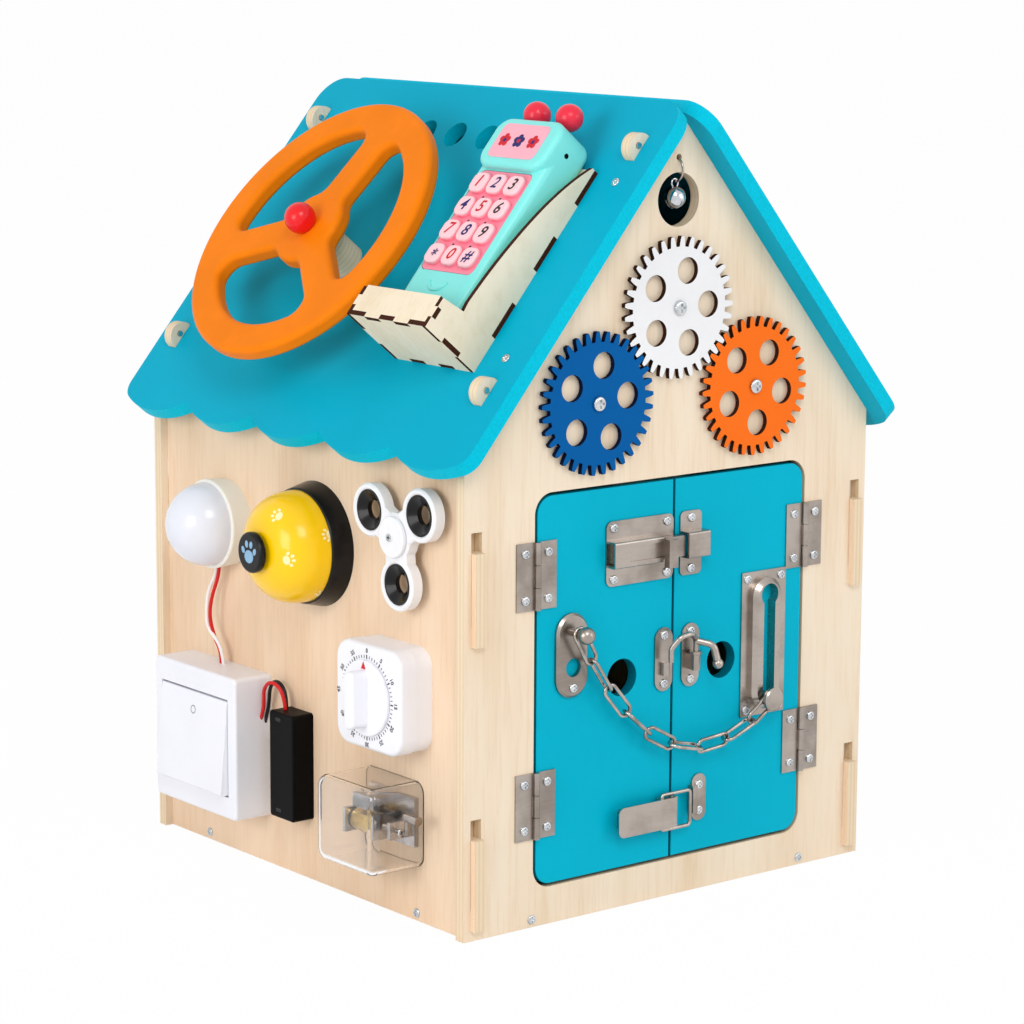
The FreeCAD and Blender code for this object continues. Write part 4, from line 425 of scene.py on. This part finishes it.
wheel_orange = moulded("wheel_orange", pigment(246, 130, 12), 0.38, 0.10, 0.00006, 0.0, 700.0, shine=0.06)
cap_red = moulded("cap_red", pigment(236, 20, 28), 0.24, 0.10, coat=0.15)
phone_aqua = moulded("phone_aqua", pigment(130, 232, 226), 0.32, 0.05, coat=0.1)
ball_coral = moulded("ball_coral", pigment(240, 40, 66), 0.28, 0.10, coat=0.15)
screen_pink = moulded("screen_pink", pigment(252, 176, 192), 0.34, 0.05)
lamp_white = moulded("lamp_white", pigment(240, 237, 228), 0.36, 0.04)
dome_milk = moulded("dome_milk", pigment(228, 230, 240), 0.20, 0.03, coat=0.3)
timer_white = moulded("timer_white", pigment(242, 242, 248), 0.40, 0.03)
switch_white = moulded("switch_white", pigment(238, 239, 246), 0.30, 0.03, coat=0.1)
spinner_white = moulded("spinner_white", pigment(240, 240, 243), 0.24, 0.03, coat=0.3)
black_gloss = moulded("black_gloss", pigment(16, 16, 18), 0.24, 0.3, coat=0.12, shine=0.2)
black_satin = moulded("black_satin", pigment(10, 10, 11), 0.36, 0.3, 0.00008, 0.0, 900.0, shine=0.06)
bell_yellow = moulded("bell_yellow", pigment(255, 204, 0), 0.22, 0.08, coat=0.25)
clear_case = moulded("clear_case", pigment(253, 253, 254), 0.03, 0.01, 0.000001, 0.0, 300.0, 1.0)
red_jacket = moulded("red_jacket", pigment(214, 26, 30), 0.36, 0.15)
white_jacket = moulded("white_jacket", pigment(244, 240, 238), 0.36, 0.05)
black_jacket = moulded("black_jacket", pigment(28, 24, 24), 0.36, 0.2)
ink_black = moulded("ink_black", pigment(34, 32, 36), 0.5, 0.2)
ink_navy = moulded("ink_navy", pigment(28, 34, 110), 0.5, 0.2)
ink_red = moulded("ink_red", pigment(216, 26, 44), 0.5, 0.15)
ink_grey = moulded("ink_grey", pigment(128, 130, 136), 0.5, 0.1)
ink_cream = moulded("ink_cream", pigment(255, 240, 178), 0.4, 0.05)
ink_sky = moulded("ink_sky", pigment(140, 182, 214), 0.4, 0.08)
print("plastic finishes made")

# %% [markdown]
# ## The keypad's two pinks
# The keys and the sheet between them are one soft moulding, and the key tops are a paler pink than the
# sheet. The height above the roof tells a key top from the sheet, so a dot product with the roof's
# outward direction gives the mask.

# %% Keypad finish
def keypad_finish():
    finish, shader, place = blank_finish("keypad_pink", {"Roughness": 0.42})
    height = along(place, tuple(ROOF_OUT)) - RIDGE * ROOF_OUT.z
    top = eased(height, 36.2 * mm, 39.2 * mm)
    fine = noise(place, 1200.0, 2.0)
    colour = blend_colours(top, pigment(247, 138, 160), pigment(255, 206, 212))
    feed(shader, Base_Color=blend_colours(fine * 0.12, colour, pigment(240, 120, 145)),
         Roughness=0.36 + fine * 0.1)
    dent(place, fine, 0.00003, shader, 0.5)
    return finish


keypad_pink = keypad_finish()
print("keypad finish made")

# %% [markdown]
# ## Put the finishes on the solids
# A solid from the frame keeps its mesh, and only its material slot changes. The list is written body by
# body, so that a part which was forgotten would stand out.

# %% Dress the solids
finish_of = {
    "front_gable": gable_ply, "back_gable": gable_ply, "left_side_panel": shaded_side_ply,
    "right_side_panel": shaded_side_ply, "base_panel": base_ply, "roof_left": shaded_left_roof_paint,
    "roof_right": right_roof_paint, "left_door": door_paint, "right_door": door_paint,
    "frame_screws": zinc, "gear_axles": zinc, "left_door_screws": zinc, "right_door_screws": zinc,
    "hinge_frame_leaves": nickel, "left_hinge_leaves": nickel, "right_hinge_leaves": nickel,
    "bolt_housing": nickel, "bolt_bar": nickel, "bolt_keeper": nickel, "hook_rest": nickel,
    "hook_base": nickel, "hook_arm": nickel, "toggle_base": nickel, "toggle_lever": nickel,
    "toggle_loop": nickel, "toggle_strike": nickel, "chain_anchor": nickel, "chain_track": nickel,
    "chain_knob": nickel, "gear_white": white_gear_paint, "gear_blue": blue_gear_paint,
    "gear_orange": orange_gear_paint, "bell_ring": chain_nickel, "jingle_bell": chrome,
    "steering_wheel": wheel_orange, "steering_post": post_ply, "steering_cap": cap_red,
    "phone_case": phone_aqua, "phone_keypad": keypad_pink, "phone_antennae": ball_coral,
    "lamp_cup": lamp_white, "lamp_dome": dome_milk, "call_bell_base": black_gloss,
    "call_bell_dome": bell_yellow, "call_bell_plunger": black_gloss, "spinner_body": spinner_white,
    "spinner_weights": black_gloss, "spinner_axle": spinner_white, "timer_case": timer_white,
    "timer_knob": timer_white, "switch_box": switch_white, "switch_rocker": switch_white,
    "battery_case": black_satin, "music_case": clear_case, "music_movement": movement_steel,
    "music_cylinder": drum_brass, "music_crank": chain_nickel,
}
for node, finish in finish_of.items():
    for slot in NODES[node].material_slots:
        slot.material = finish
for name, finish in (("wire_red", red_jacket), ("wire_white", white_jacket),
                     ("battery_wire_red", red_jacket), ("battery_wire_black", black_jacket)):
    wires[name].data.materials.append(finish)
print("dressed", len(finish_of), "solids; left for a piece:", sorted(set(NODES) - set(finish_of)))

# %% [markdown]
# ## The door chain
# The chain hangs between a stud on the left door and a knob that slides in a track. The links in the
# frame are right, though on the real toy they give as the knob moves. A copy of them stands in their
# place, merged first, because the frame's triangles are loose.

# %% Copies of solids
def merged_copy(node, name):
    copy = NODES[node].copy()
    copy.data = NODES[node].data.copy()
    copy.name = name
    copy.parent = None
    for key in list(copy.keys()):
        del copy[key]
    bpy.context.scene.collection.objects.link(copy)
    pick(copy)
    bpy.ops.object.mode_set(mode="EDIT")
    bpy.ops.mesh.select_all(action="SELECT")
    bpy.ops.mesh.remove_doubles(threshold=0.00001)
    bpy.ops.object.mode_set(mode="OBJECT")
    return copy


def pick(piece):
    bpy.ops.object.select_all(action="DESELECT")
    piece.select_set(True)
    bpy.context.view_layer.objects.active = piece


def give(piece, finish):
    piece.data.materials.clear()
    piece.data.materials.append(finish)


chain = merged_copy("door_chain", "door_chain_links")
give(chain, chain_nickel)
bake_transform(chain)
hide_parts("door_chain")
print("chain has", len(chain.data.polygons), "faces")

# %% [markdown]
# ## The phone's cradle
# The cradle is thin ply cut by laser, so each plate has pale faces and dark brown edges, and the finger
# joints show both side by side. One rule for the whole solid can't tell them apart, because the plates
# stand in three directions. So a copy is used: a point just under each face says which plate owns it,
# finger by finger, and a face that looks along that plate's thickness is pale and any other is burnt.

# %% Cradle
cradle = merged_copy("phone_cradle", "cradle_plates")
cradle_face = birch_ply("cradle_face", None, ROOF_UP, pigment(244, 230, 206), pigment(226, 206, 174))
CRADLE_BROWN = pigment(66, 34, 22)
cradle_burn = painted_ply("cradle_burn", tuple(ROOF_OUT), Y, CRADLE_BROWN, CRADLE_BROWN, 0.3, 0.6)
give(cradle, cradle_face)
cradle.data.materials.append(cradle_burn)
to_roof = LEFT_ROOF.inverted()
AXIS_THROUGH = {"side": 0, "end": 1, "floor": 2, "lip": 2}
SIDE_IN, END_OUT, LIP_IN = (63, 129), -187, -166.9
END_IN, FLOOR_OUT, FLOOR_IN, LIP_UNDER = -184, 9, 12, 49
SIDE_FINGER, END_FINGER, LIP_FINGER, CROSS_FINGER = 22.5, 43 / 3, 20 / 3, 13.2


def plate_under(place):
    """The plate that owns a point of the cradle, given in the roof's millimetres."""
    u, v, w = place
    at_side, at_end = u < SIDE_IN[0] or u > SIDE_IN[1], v < END_IN
    at_floor, at_lip = w < FLOOR_IN, w > LIP_UNDER and v < LIP_IN
    if at_side and at_end:
        return ("side", "end")[int((w - FLOOR_OUT) / END_FINGER) % 2]
    if at_side and at_floor:
        return ("side", "floor")[int((v - END_OUT) / SIDE_FINGER) % 2]
    if at_side and at_lip:
        return ("side", "lip")[int((v - END_OUT) / LIP_FINGER) % 2]
    if at_end and (at_floor or at_lip):
        return ("end", "floor" if at_floor else "lip")[int((u - SIDE_IN[0]) / CROSS_FINGER) % 2]
    if at_side:
        return "side"
    return "end" if at_end else "lip" if at_lip else "floor"


owned = {"side": 0, "end": 0, "floor": 0, "lip": 0}
for face in cradle.data.polygons:
    outward = to_roof.to_3x3() @ face.normal
    plate = plate_under((to_roof @ face.center) / mm - outward * 0.5)
    face.material_index = 0 if abs(outward[AXIS_THROUGH[plate]]) > 0.75 else 1
    owned[plate] += 1
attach(cradle, "house")
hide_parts("phone_cradle")
print("cradle faces by plate", owned)

# %% [markdown]
# ## Small helpers for prints
# A print is a very thin raised shape. It is drawn flat on its board in millimetres, given a skin's
# thickness, and then its place is moved into its mesh so that the object itself stays at the origin.

# %% Print helpers
INK = 0.12 * mm


def flat_disc(u, v, radius, sides=24, squash=1.0, turn=0.0, w=0.0):
    bpy.ops.object.select_all(action="DESELECT")
    bpy.ops.mesh.primitive_circle_add(vertices=sides, radius=radius * mm, fill_type="NGON",
                                      location=(u * mm, v * mm, w * mm))
    disc = bpy.context.object
    disc.scale = (squash, 1.0, 1.0)
    disc.rotation_euler = (0, 0, math.radians(turn))
    bpy.ops.object.transform_apply(location=True, rotation=True, scale=True)
    return disc


def flat_panel(u, v, wide, high, corner, segments=5, w=0.0):
    bpy.ops.object.select_all(action="DESELECT")
    bpy.ops.mesh.primitive_plane_add(size=1.0, location=(u * mm, v * mm, w * mm))
    panel = bpy.context.object
    panel.scale = (wide * mm, high * mm, 1.0)
    bpy.ops.object.transform_apply(location=True, rotation=True, scale=True)
    bpy.ops.object.mode_set(mode="EDIT")
    bpy.ops.mesh.select_all(action="SELECT")
    bpy.ops.mesh.bevel(offset=corner * mm, segments=segments, affect="VERTICES")
    bpy.ops.object.mode_set(mode="OBJECT")
    return panel


def lettering(text, u, v, size, turn=0.0, slant=0.0, w=0.0, weight=0.0):
    bpy.ops.object.select_all(action="DESELECT")
    bpy.ops.object.text_add(location=(u * mm, v * mm, w * mm), rotation=(0, 0, math.radians(turn)))
    words = bpy.context.object
    words.data.body = text
    words.data.size = size * mm
    words.data.shear = slant
    words.data.offset = weight * mm
    words.data.align_x = "CENTER"
    words.data.align_y = "CENTER"
    words.data.resolution_u = 3
    bpy.ops.object.convert(target="MESH")
    words = bpy.context.object
    bpy.ops.object.transform_apply(location=True, rotation=True, scale=True)
    return words


def joined(parts, name):
    bpy.ops.object.select_all(action="DESELECT")
    for part in parts:
        part.select_set(True)
    bpy.context.view_layer.objects.active = parts[0]
    if len(parts) > 1:
        bpy.ops.object.join()
    whole = bpy.context.object
    whole.name = name
    return whole


def thicken(piece, height, bevel=0.0, segments=2):
    """Gives a flat shape that looks along +w a real thickness."""
    pick(piece)
    bpy.ops.object.mode_set(mode="EDIT")
    bpy.ops.mesh.select_all(action="SELECT")
    bpy.ops.mesh.remove_doubles(threshold=0.000001)
    bpy.ops.mesh.extrude_region_move(TRANSFORM_OT_translate={"value": (0, 0, height)})
    bpy.ops.mesh.select_all(action="SELECT")
    bpy.ops.mesh.normals_make_consistent(inside=False)
    bpy.ops.object.mode_set(mode="OBJECT")
    if bevel:
        rounding = piece.modifiers.new("rounding", "BEVEL")
        rounding.width = bevel
        rounding.segments = segments
        rounding.limit_method = "ANGLE"
        bpy.ops.object.modifier_apply(modifier="rounding")
    return piece


def settle(piece, face, body, finish):
    """Moves a finished piece from its board into the room and says what it rides on."""
    piece.data.transform(face)
    piece.data.update()
    give(piece, finish)
    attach(piece, body)
    print(piece.name, "has", len(piece.data.polygons), "faces on", body)
    return piece


# %% [markdown]
# ## Digits on the phone's keys
# Twelve keys carry slanted digits in three inks. Each digit is text turned into a mesh, laid on its own
# key top and joined with the others of its ink, so that three pieces ride on the keypad.

# %% Key digits
KEY_U, KEY_V, KEY_TOP = 96.0, -84.2, 39.44
KEY_ACROSS, KEY_DOWN = 15.16, 16.3
ink_of = {"1": "red", "2": "navy", "3": "black", "4": "navy", "5": "red", "6": "black",
          "7": "red", "8": "navy", "9": "black", "*": "navy", "0": "red", "#": "navy"}
by_ink = {"red": [], "navy": [], "black": []}
for place, digit in enumerate("123456789*0#"):
    column, row = place % 3 - 1, place // 3
    lower = -2.2 if digit == "*" else 0.0
    mark = lettering(digit, KEY_U + column * KEY_ACROSS, KEY_V - row * KEY_DOWN + lower, 10.5, 0, 0.25,
                     KEY_TOP, 0.12)
    by_ink[ink_of[digit]].append(mark)
for ink, finish in (("red", ink_red), ("navy", ink_navy), ("black", ink_black)):
    digits = thicken(joined(by_ink[ink], "key_digits_" + ink), INK)
    settle(digits, LEFT_ROOF, "keypad", finish)

# %% [markdown]
# ## The phone's face plate, dots and arc
# The head carries a pink window with a small generic print, three flowers in red and navy ink. Small
# dark dots sit between the keys, a raised arc is moulded below them, and a button stands out of the
# side with a charging hole above it.

# %% Phone details
HEAD_TOP, WINDOW_V, FLOWER_GAP, PETAL = 40.5, -56.4, 12.5, 4.4
PRINT_W = HEAD_TOP + 0.45
window = thicken(flat_panel(KEY_U, WINDOW_V, 41, 23, 4.0, 6, HEAD_TOP - 0.3), 0.75 * mm, 0.25 * mm)
window.name = "phone_window"
settle(window, LEFT_ROOF, "phone", screen_pink)


def flower(u, v, size, w):
    petals = []
    for turn in range(5):
        angle = math.radians(90 + turn * 72)
        petals.append(flat_disc(u + size * 0.62 * math.cos(angle), v + size * 0.62 * math.sin(angle),
                                size * 0.42, 16, w=w))
    return petals


red_petals = (flower(KEY_U - FLOWER_GAP, WINDOW_V, PETAL, PRINT_W)
              + flower(KEY_U + FLOWER_GAP, WINDOW_V, PETAL, PRINT_W))
red_petals.append(flat_disc(KEY_U, WINDOW_V, 1.4, 16, w=PRINT_W + 0.01))
settle(thicken(joined(red_petals, "window_flowers_red"), INK), LEFT_ROOF, "phone", ink_red)
navy_petals = flower(KEY_U, WINDOW_V, PETAL, PRINT_W)
navy_petals += [flat_disc(KEY_U + gap, WINDOW_V, 1.4, 16, w=PRINT_W + 0.01)
                for gap in (-FLOWER_GAP, FLOWER_GAP)]
settle(thicken(joined(navy_petals, "window_flowers_navy"), INK), LEFT_ROOF, "phone", ink_navy)

dots = [flat_disc(KEY_U + (column - 0.5) * KEY_ACROSS, KEY_V - (row + 0.5) * KEY_DOWN, 0.9, 12, w=35.82)
        for row in range(3) for column in (0, 1)]
settle(thicken(joined(dots, "keypad_dots"), INK), LEFT_ROOF, "keypad", ink_black)

# %% [markdown]
# ## Moulded arc, button and holes
# The arc is half of a torus cut with a bisect, so that its section stays round. The side button is a
# small panel that is thickened and rounded, turned to look out of the phone's flank.

# %% Phone arc and button
bpy.ops.object.select_all(action="DESELECT")
bpy.ops.mesh.primitive_torus_add(major_radius=8.0 * mm, minor_radius=1.1 * mm, major_segments=40,
                                 minor_segments=12, location=(KEY_U * mm, -147 * mm, 36.1 * mm))
arc = bpy.context.object
arc.name = "phone_arc"
bpy.ops.object.transform_apply(location=True, rotation=True, scale=True)
bpy.ops.object.mode_set(mode="EDIT")
bpy.ops.mesh.select_all(action="SELECT")
bpy.ops.mesh.bisect(plane_co=(KEY_U * mm, -149.5 * mm, 36 * mm), plane_no=(0, 1, 0), clear_outer=True,
                    use_fill=True)
bpy.ops.object.mode_set(mode="OBJECT")
settle(arc, LEFT_ROOF, "phone", phone_aqua)

PHONE_FLANK = board(Vector((0, 0, RIDGE)), ROOF_UP, ROOF_OUT, Vector((0, -1, 0)))
side_button = thicken(flat_panel(-83, 25, 12, 5.6, 2.7, 6, 121.9), 2.3 * mm, 0.7 * mm)
side_button.name = "phone_side_button"
settle(side_button, PHONE_FLANK, "phone", phone_aqua)
# The charging hole is a flat black disc: painted shade for the dark inside of the hole.
charge_hole_shade = flat_disc(-55, 28, 1.5, 20, w=124.5)
charge_hole_shade.name = "phone_charge_hole"
settle(thicken(charge_hole_shade, INK), PHONE_FLANK, "phone", black_satin)

# %% [markdown]
# ## Kitchen timer
# Sixty short ticks run round the knob, each fifth one heavier, with the minutes printed outside them.
# A red triangle on the knob points at the ticks. The ticks are one rectangle each, turned about the
# dial's middle.

# %% Dial marks
DIAL_U, DIAL_V, CASE_FACE, KNOB_FACE = 89.5, 129.0, 23.0, 25.4
TICK_RING, NUMBER_RING = 23.2, 26.6
ticks = []
for minute in range(60):
    turn = -6.0 * minute
    angle = math.radians(90 + turn)
    heavy = minute % 5 == 0
    tick = flat_panel(0, 0, 0.75 if heavy else 0.42, 2.4 if heavy else 1.7, 0.1, 1)
    tick.rotation_euler = (0, 0, math.radians(turn))
    tick.location = ((DIAL_U + TICK_RING * math.cos(angle)) * mm, (DIAL_V + TICK_RING * math.sin(angle)) * mm,
                     (CASE_FACE + 0.02) * mm)
    pick(tick)
    bpy.ops.object.transform_apply(location=True, rotation=True, scale=True)
    ticks.append(tick)
for step in range(12):
    turn = -30.0 * step
    angle = math.radians(90 + turn)
    ticks.append(lettering(str(step * 5), DIAL_U + NUMBER_RING * math.cos(angle),
                           DIAL_V + NUMBER_RING * math.sin(angle), 3.7, turn, 0.0, CASE_FACE + 0.02, 0.05))
settle(thicken(joined(ticks, "timer_marks"), INK), LEFT_WALL, "house", ink_black)

pointer = flat_disc(DIAL_U, DIAL_V + 18.2, 2.9, 3, 0.85, 0.0, KNOB_FACE + 0.02)
pointer.name = "timer_pointer"
settle(thicken(pointer, INK), LEFT_WALL, "timer_dial", ink_red)

# %% [markdown]
# ## Paw prints on the call bell
# The dome has pale paw prints and the button one blue paw, a common pet-toy pattern. A paw is one wide
# pad and four toes. On the dome the flat paw is wrapped with a Shrinkwrap modifier, which pulls each
# point to the nearest place on the dome and lifts it by a hair.

# %% Paw prints
BELL_U, BELL_V, DOME_CLEAR = 9.5, 201.2, 39.0


def paw(u, v, size, w):
    parts = [flat_disc(u, v - size * 0.35, size * 0.52, 20, 1.15, 0, w)]
    for side, rise, turn in ((-0.78, 0.12, 25), (-0.30, 0.62, 8), (0.30, 0.62, -8), (0.78, 0.12, -25)):
        parts.append(flat_disc(u + side * size, v + rise * size, size * 0.29, 16, 0.72, turn, w))
    return parts


button_paw = joined(paw(BELL_U, BELL_V + 0.3, 7.2, 46.92), "button_paw")
settle(thicken(button_paw, INK), LEFT_WALL, "bell_button", ink_sky)


def wrapped_on(piece, node, lift):
    hold = piece.modifiers.new("wrap", "SHRINKWRAP")
    hold.target = NODES[node]
    hold.wrap_method = "NEAREST_SURFACEPOINT"
    hold.wrap_mode = "OUTSIDE_SURFACE"
    hold.offset = lift
    pick(piece)
    bpy.ops.object.modifier_apply(modifier="wrap")


def print_on_dome(polar, around, spin, size, name):
    flat = joined(paw(0, 0, size, 0), name)
    pick(flat)
    bpy.ops.object.mode_set(mode="EDIT")
    bpy.ops.mesh.select_all(action="SELECT")
    bpy.ops.mesh.poke()
    bpy.ops.object.mode_set(mode="OBJECT")
    lean = (Matrix.Translation(Vector((BELL_U, BELL_V, 5.94)) * mm)
            @ Matrix.Rotation(math.radians(around), 4, "Z") @ Matrix.Rotation(math.radians(polar), 4, "Y")
            @ Matrix.Translation((0, 0, DOME_CLEAR * mm)) @ Matrix.Rotation(math.radians(spin), 4, "Z"))
    flat.data.transform(LEFT_WALL @ lean)
    flat.data.update()
    wrapped_on(flat, "call_bell_dome", 0.12 * mm)
    give(flat, ink_cream)
    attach(flat, "house")


PAW_PLACES = ((40, 64, 20), (38, -4, -70), (62, 232, 160), (54, 150, 30),
              (78, 20, 100), (80, -48, 10), (76, 105, -40), (78, 190, 80))
for count, (polar, around, spin) in enumerate(PAW_PLACES):
    print_on_dome(polar, around, spin, 4.6, "dome_paw_%d" % (count + 1))
print("paw prints on the dome: 8")

# %% [markdown]
# ## Switch mark, spinner screw and battery slots
# The rocker has a small grey ring on its upper third, on a face that leans by five degrees. The
# spinner's cap is held by a small screw, a bevelled disc with a thin black cross of painted shade in
# its recess, and its height comes from the cap's own box. The battery case has two moulded slots where
# its lid clips.

# %% Switch mark
LEAN = math.atan(5.08 / 56.4)
bpy.ops.object.select_all(action="DESELECT")
bpy.ops.mesh.primitive_torus_add(major_radius=2.3 * mm, minor_radius=0.28 * mm, major_segments=32,
                                 minor_segments=8)
ring = bpy.context.object
ring.name = "rocker_mark"
ring.data.transform(Matrix.Diagonal((1.0, 1.0, 0.5, 1.0)))
ring.data.transform(Matrix.Translation(Vector((-81.0, 90.0, 26.96)) * mm) @ Matrix.Rotation(-LEAN, 4, "X"))
settle(ring, LEFT_WALL, "rocker", ink_grey)

# %% Spinner screw
SPIN_U, SPIN_V = 100.0, 220.0
CAP_FACE = (WALL_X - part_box("spinner_axle")[0][0]) / mm
screw = flat_disc(SPIN_U, SPIN_V, 2.3, 24, w=CAP_FACE - 0.1)
screw.name = "spinner_screw"
thicken(screw, 0.5 * mm, 0.12 * mm)
settle(screw, LEFT_WALL, "house", zinc)
CROSS_BARS = ((2.6, 0.55), (0.55, 2.6))
# The cross is a flat black sheet: painted shade in the recess of the screw head.
cross = [flat_panel(SPIN_U, SPIN_V, wide, high, 0.1, 1, CAP_FACE + 0.4) for wide, high in CROSS_BARS]
cross = thicken(joined(cross, "spinner_screw_cross_shade"), 0.03 * mm)
settle(cross, LEFT_WALL, "house", black_satin)

# %% Battery slots
slots = [thicken(flat_panel(-7.2 - 3.0, v, 5.2, 2.2, 0.7, 3, 14.42), 0.14 * mm) for v in (95.6, 41.4)]
settle(joined(slots, "battery_slots"), LEFT_WALL, "house", black_gloss)

# %% [markdown]
# ## Floor, walls of light and lamps
# The photograph was taken on white paper in a light tent. The floor is a wide white sheet, and rays from
# the camera see it almost pure white, so that it keeps only a hint of the house's shadow. The world
# gives a weak fill to the object and is pure white to the camera and in reflections. Three big soft
# lamps stand round the camera's side.

# %% Floor
bpy.ops.object.select_all(action="DESELECT")
bpy.ops.mesh.primitive_plane_add(size=80.0, location=(0, 0, cad_box[0][2] - 0.0002))
floor = bpy.context.object
floor.name = "paper_floor"
paper = bpy.data.materials.new("white_paper")
paper.use_nodes = True
paper_tree = paper.node_tree
paper_shader = paper_tree.nodes["Principled BSDF"]
paper_shader.inputs["Base Color"].default_value = (0.93, 0.93, 0.93, 1.0)
paper_shader.inputs["Roughness"].default_value = 0.9
paper_shader.inputs["Specular IOR Level"].default_value = 0.1
rays = Tone(paper_tree, None)


def seen_directly(start):
    """1 for what the camera sees, also in metal and through clear plastic."""
    first, *others = [start.node("LightPath", {}, {}, "Is %s Ray" % kind)
                      for kind in ("Camera", "Glossy", "Transmission")]
    for other in others:
        first = first + other
    return first


glow = rays.node("Emission", {}, {"Color": (1.0, 1.0, 1.0, 1.0), "Strength": 1.0})
surface = Tone(paper_tree, paper_shader.outputs[0])
mixed = rays.node("MixShader", {}, {0: seen_directly(rays) * 0.97, 1: surface, 2: glow})
paper_tree.links.new(mixed.socket, paper_tree.nodes["Material Output"].inputs["Surface"])
floor.data.materials.append(paper)

# %% World
world = bpy.data.worlds.new("tent")
bpy.context.scene.world = world
world.use_nodes = True
tent = world.node_tree
backdrop = tent.nodes["Background"]
light = Tone(tent, None)
FILL = 0.62
fill = FILL + eased(seen_directly(light), 0.0, 1.0) * (1.0 - FILL)
tent.links.new(fill.socket, backdrop.inputs["Strength"])
backdrop.inputs["Color"].default_value = (1.0, 1.0, 1.0, 1.0)


# %% Lamps
def soft_lamp(name, place, size, power):
    bpy.ops.object.light_add(type="AREA", location=place)
    lamp = bpy.context.object
    lamp.name = name
    lamp.data.shape = "SQUARE"
    lamp.data.size = size
    lamp.data.energy = power
    aim = Vector((0, 0, 0.22)) - Vector(place)
    lamp.rotation_euler = aim.to_track_quat("-Z", "Y").to_euler()
    return lamp


soft_lamp("key_lamp", (-1.1, -1.9, 1.9), 1.0, 19.0)
soft_lamp("side_lamp", (-2.4, -0.3, 0.75), 1.1, 18.0)
soft_lamp("door_lamp", (1.2, -2.2, 0.9), 1.2, 9.0)
bpy.context.scene.view_settings.view_transform = "Standard"
print("three soft lamps and a white floor")

# %% Update the scene
bpy.context.view_layer.update()
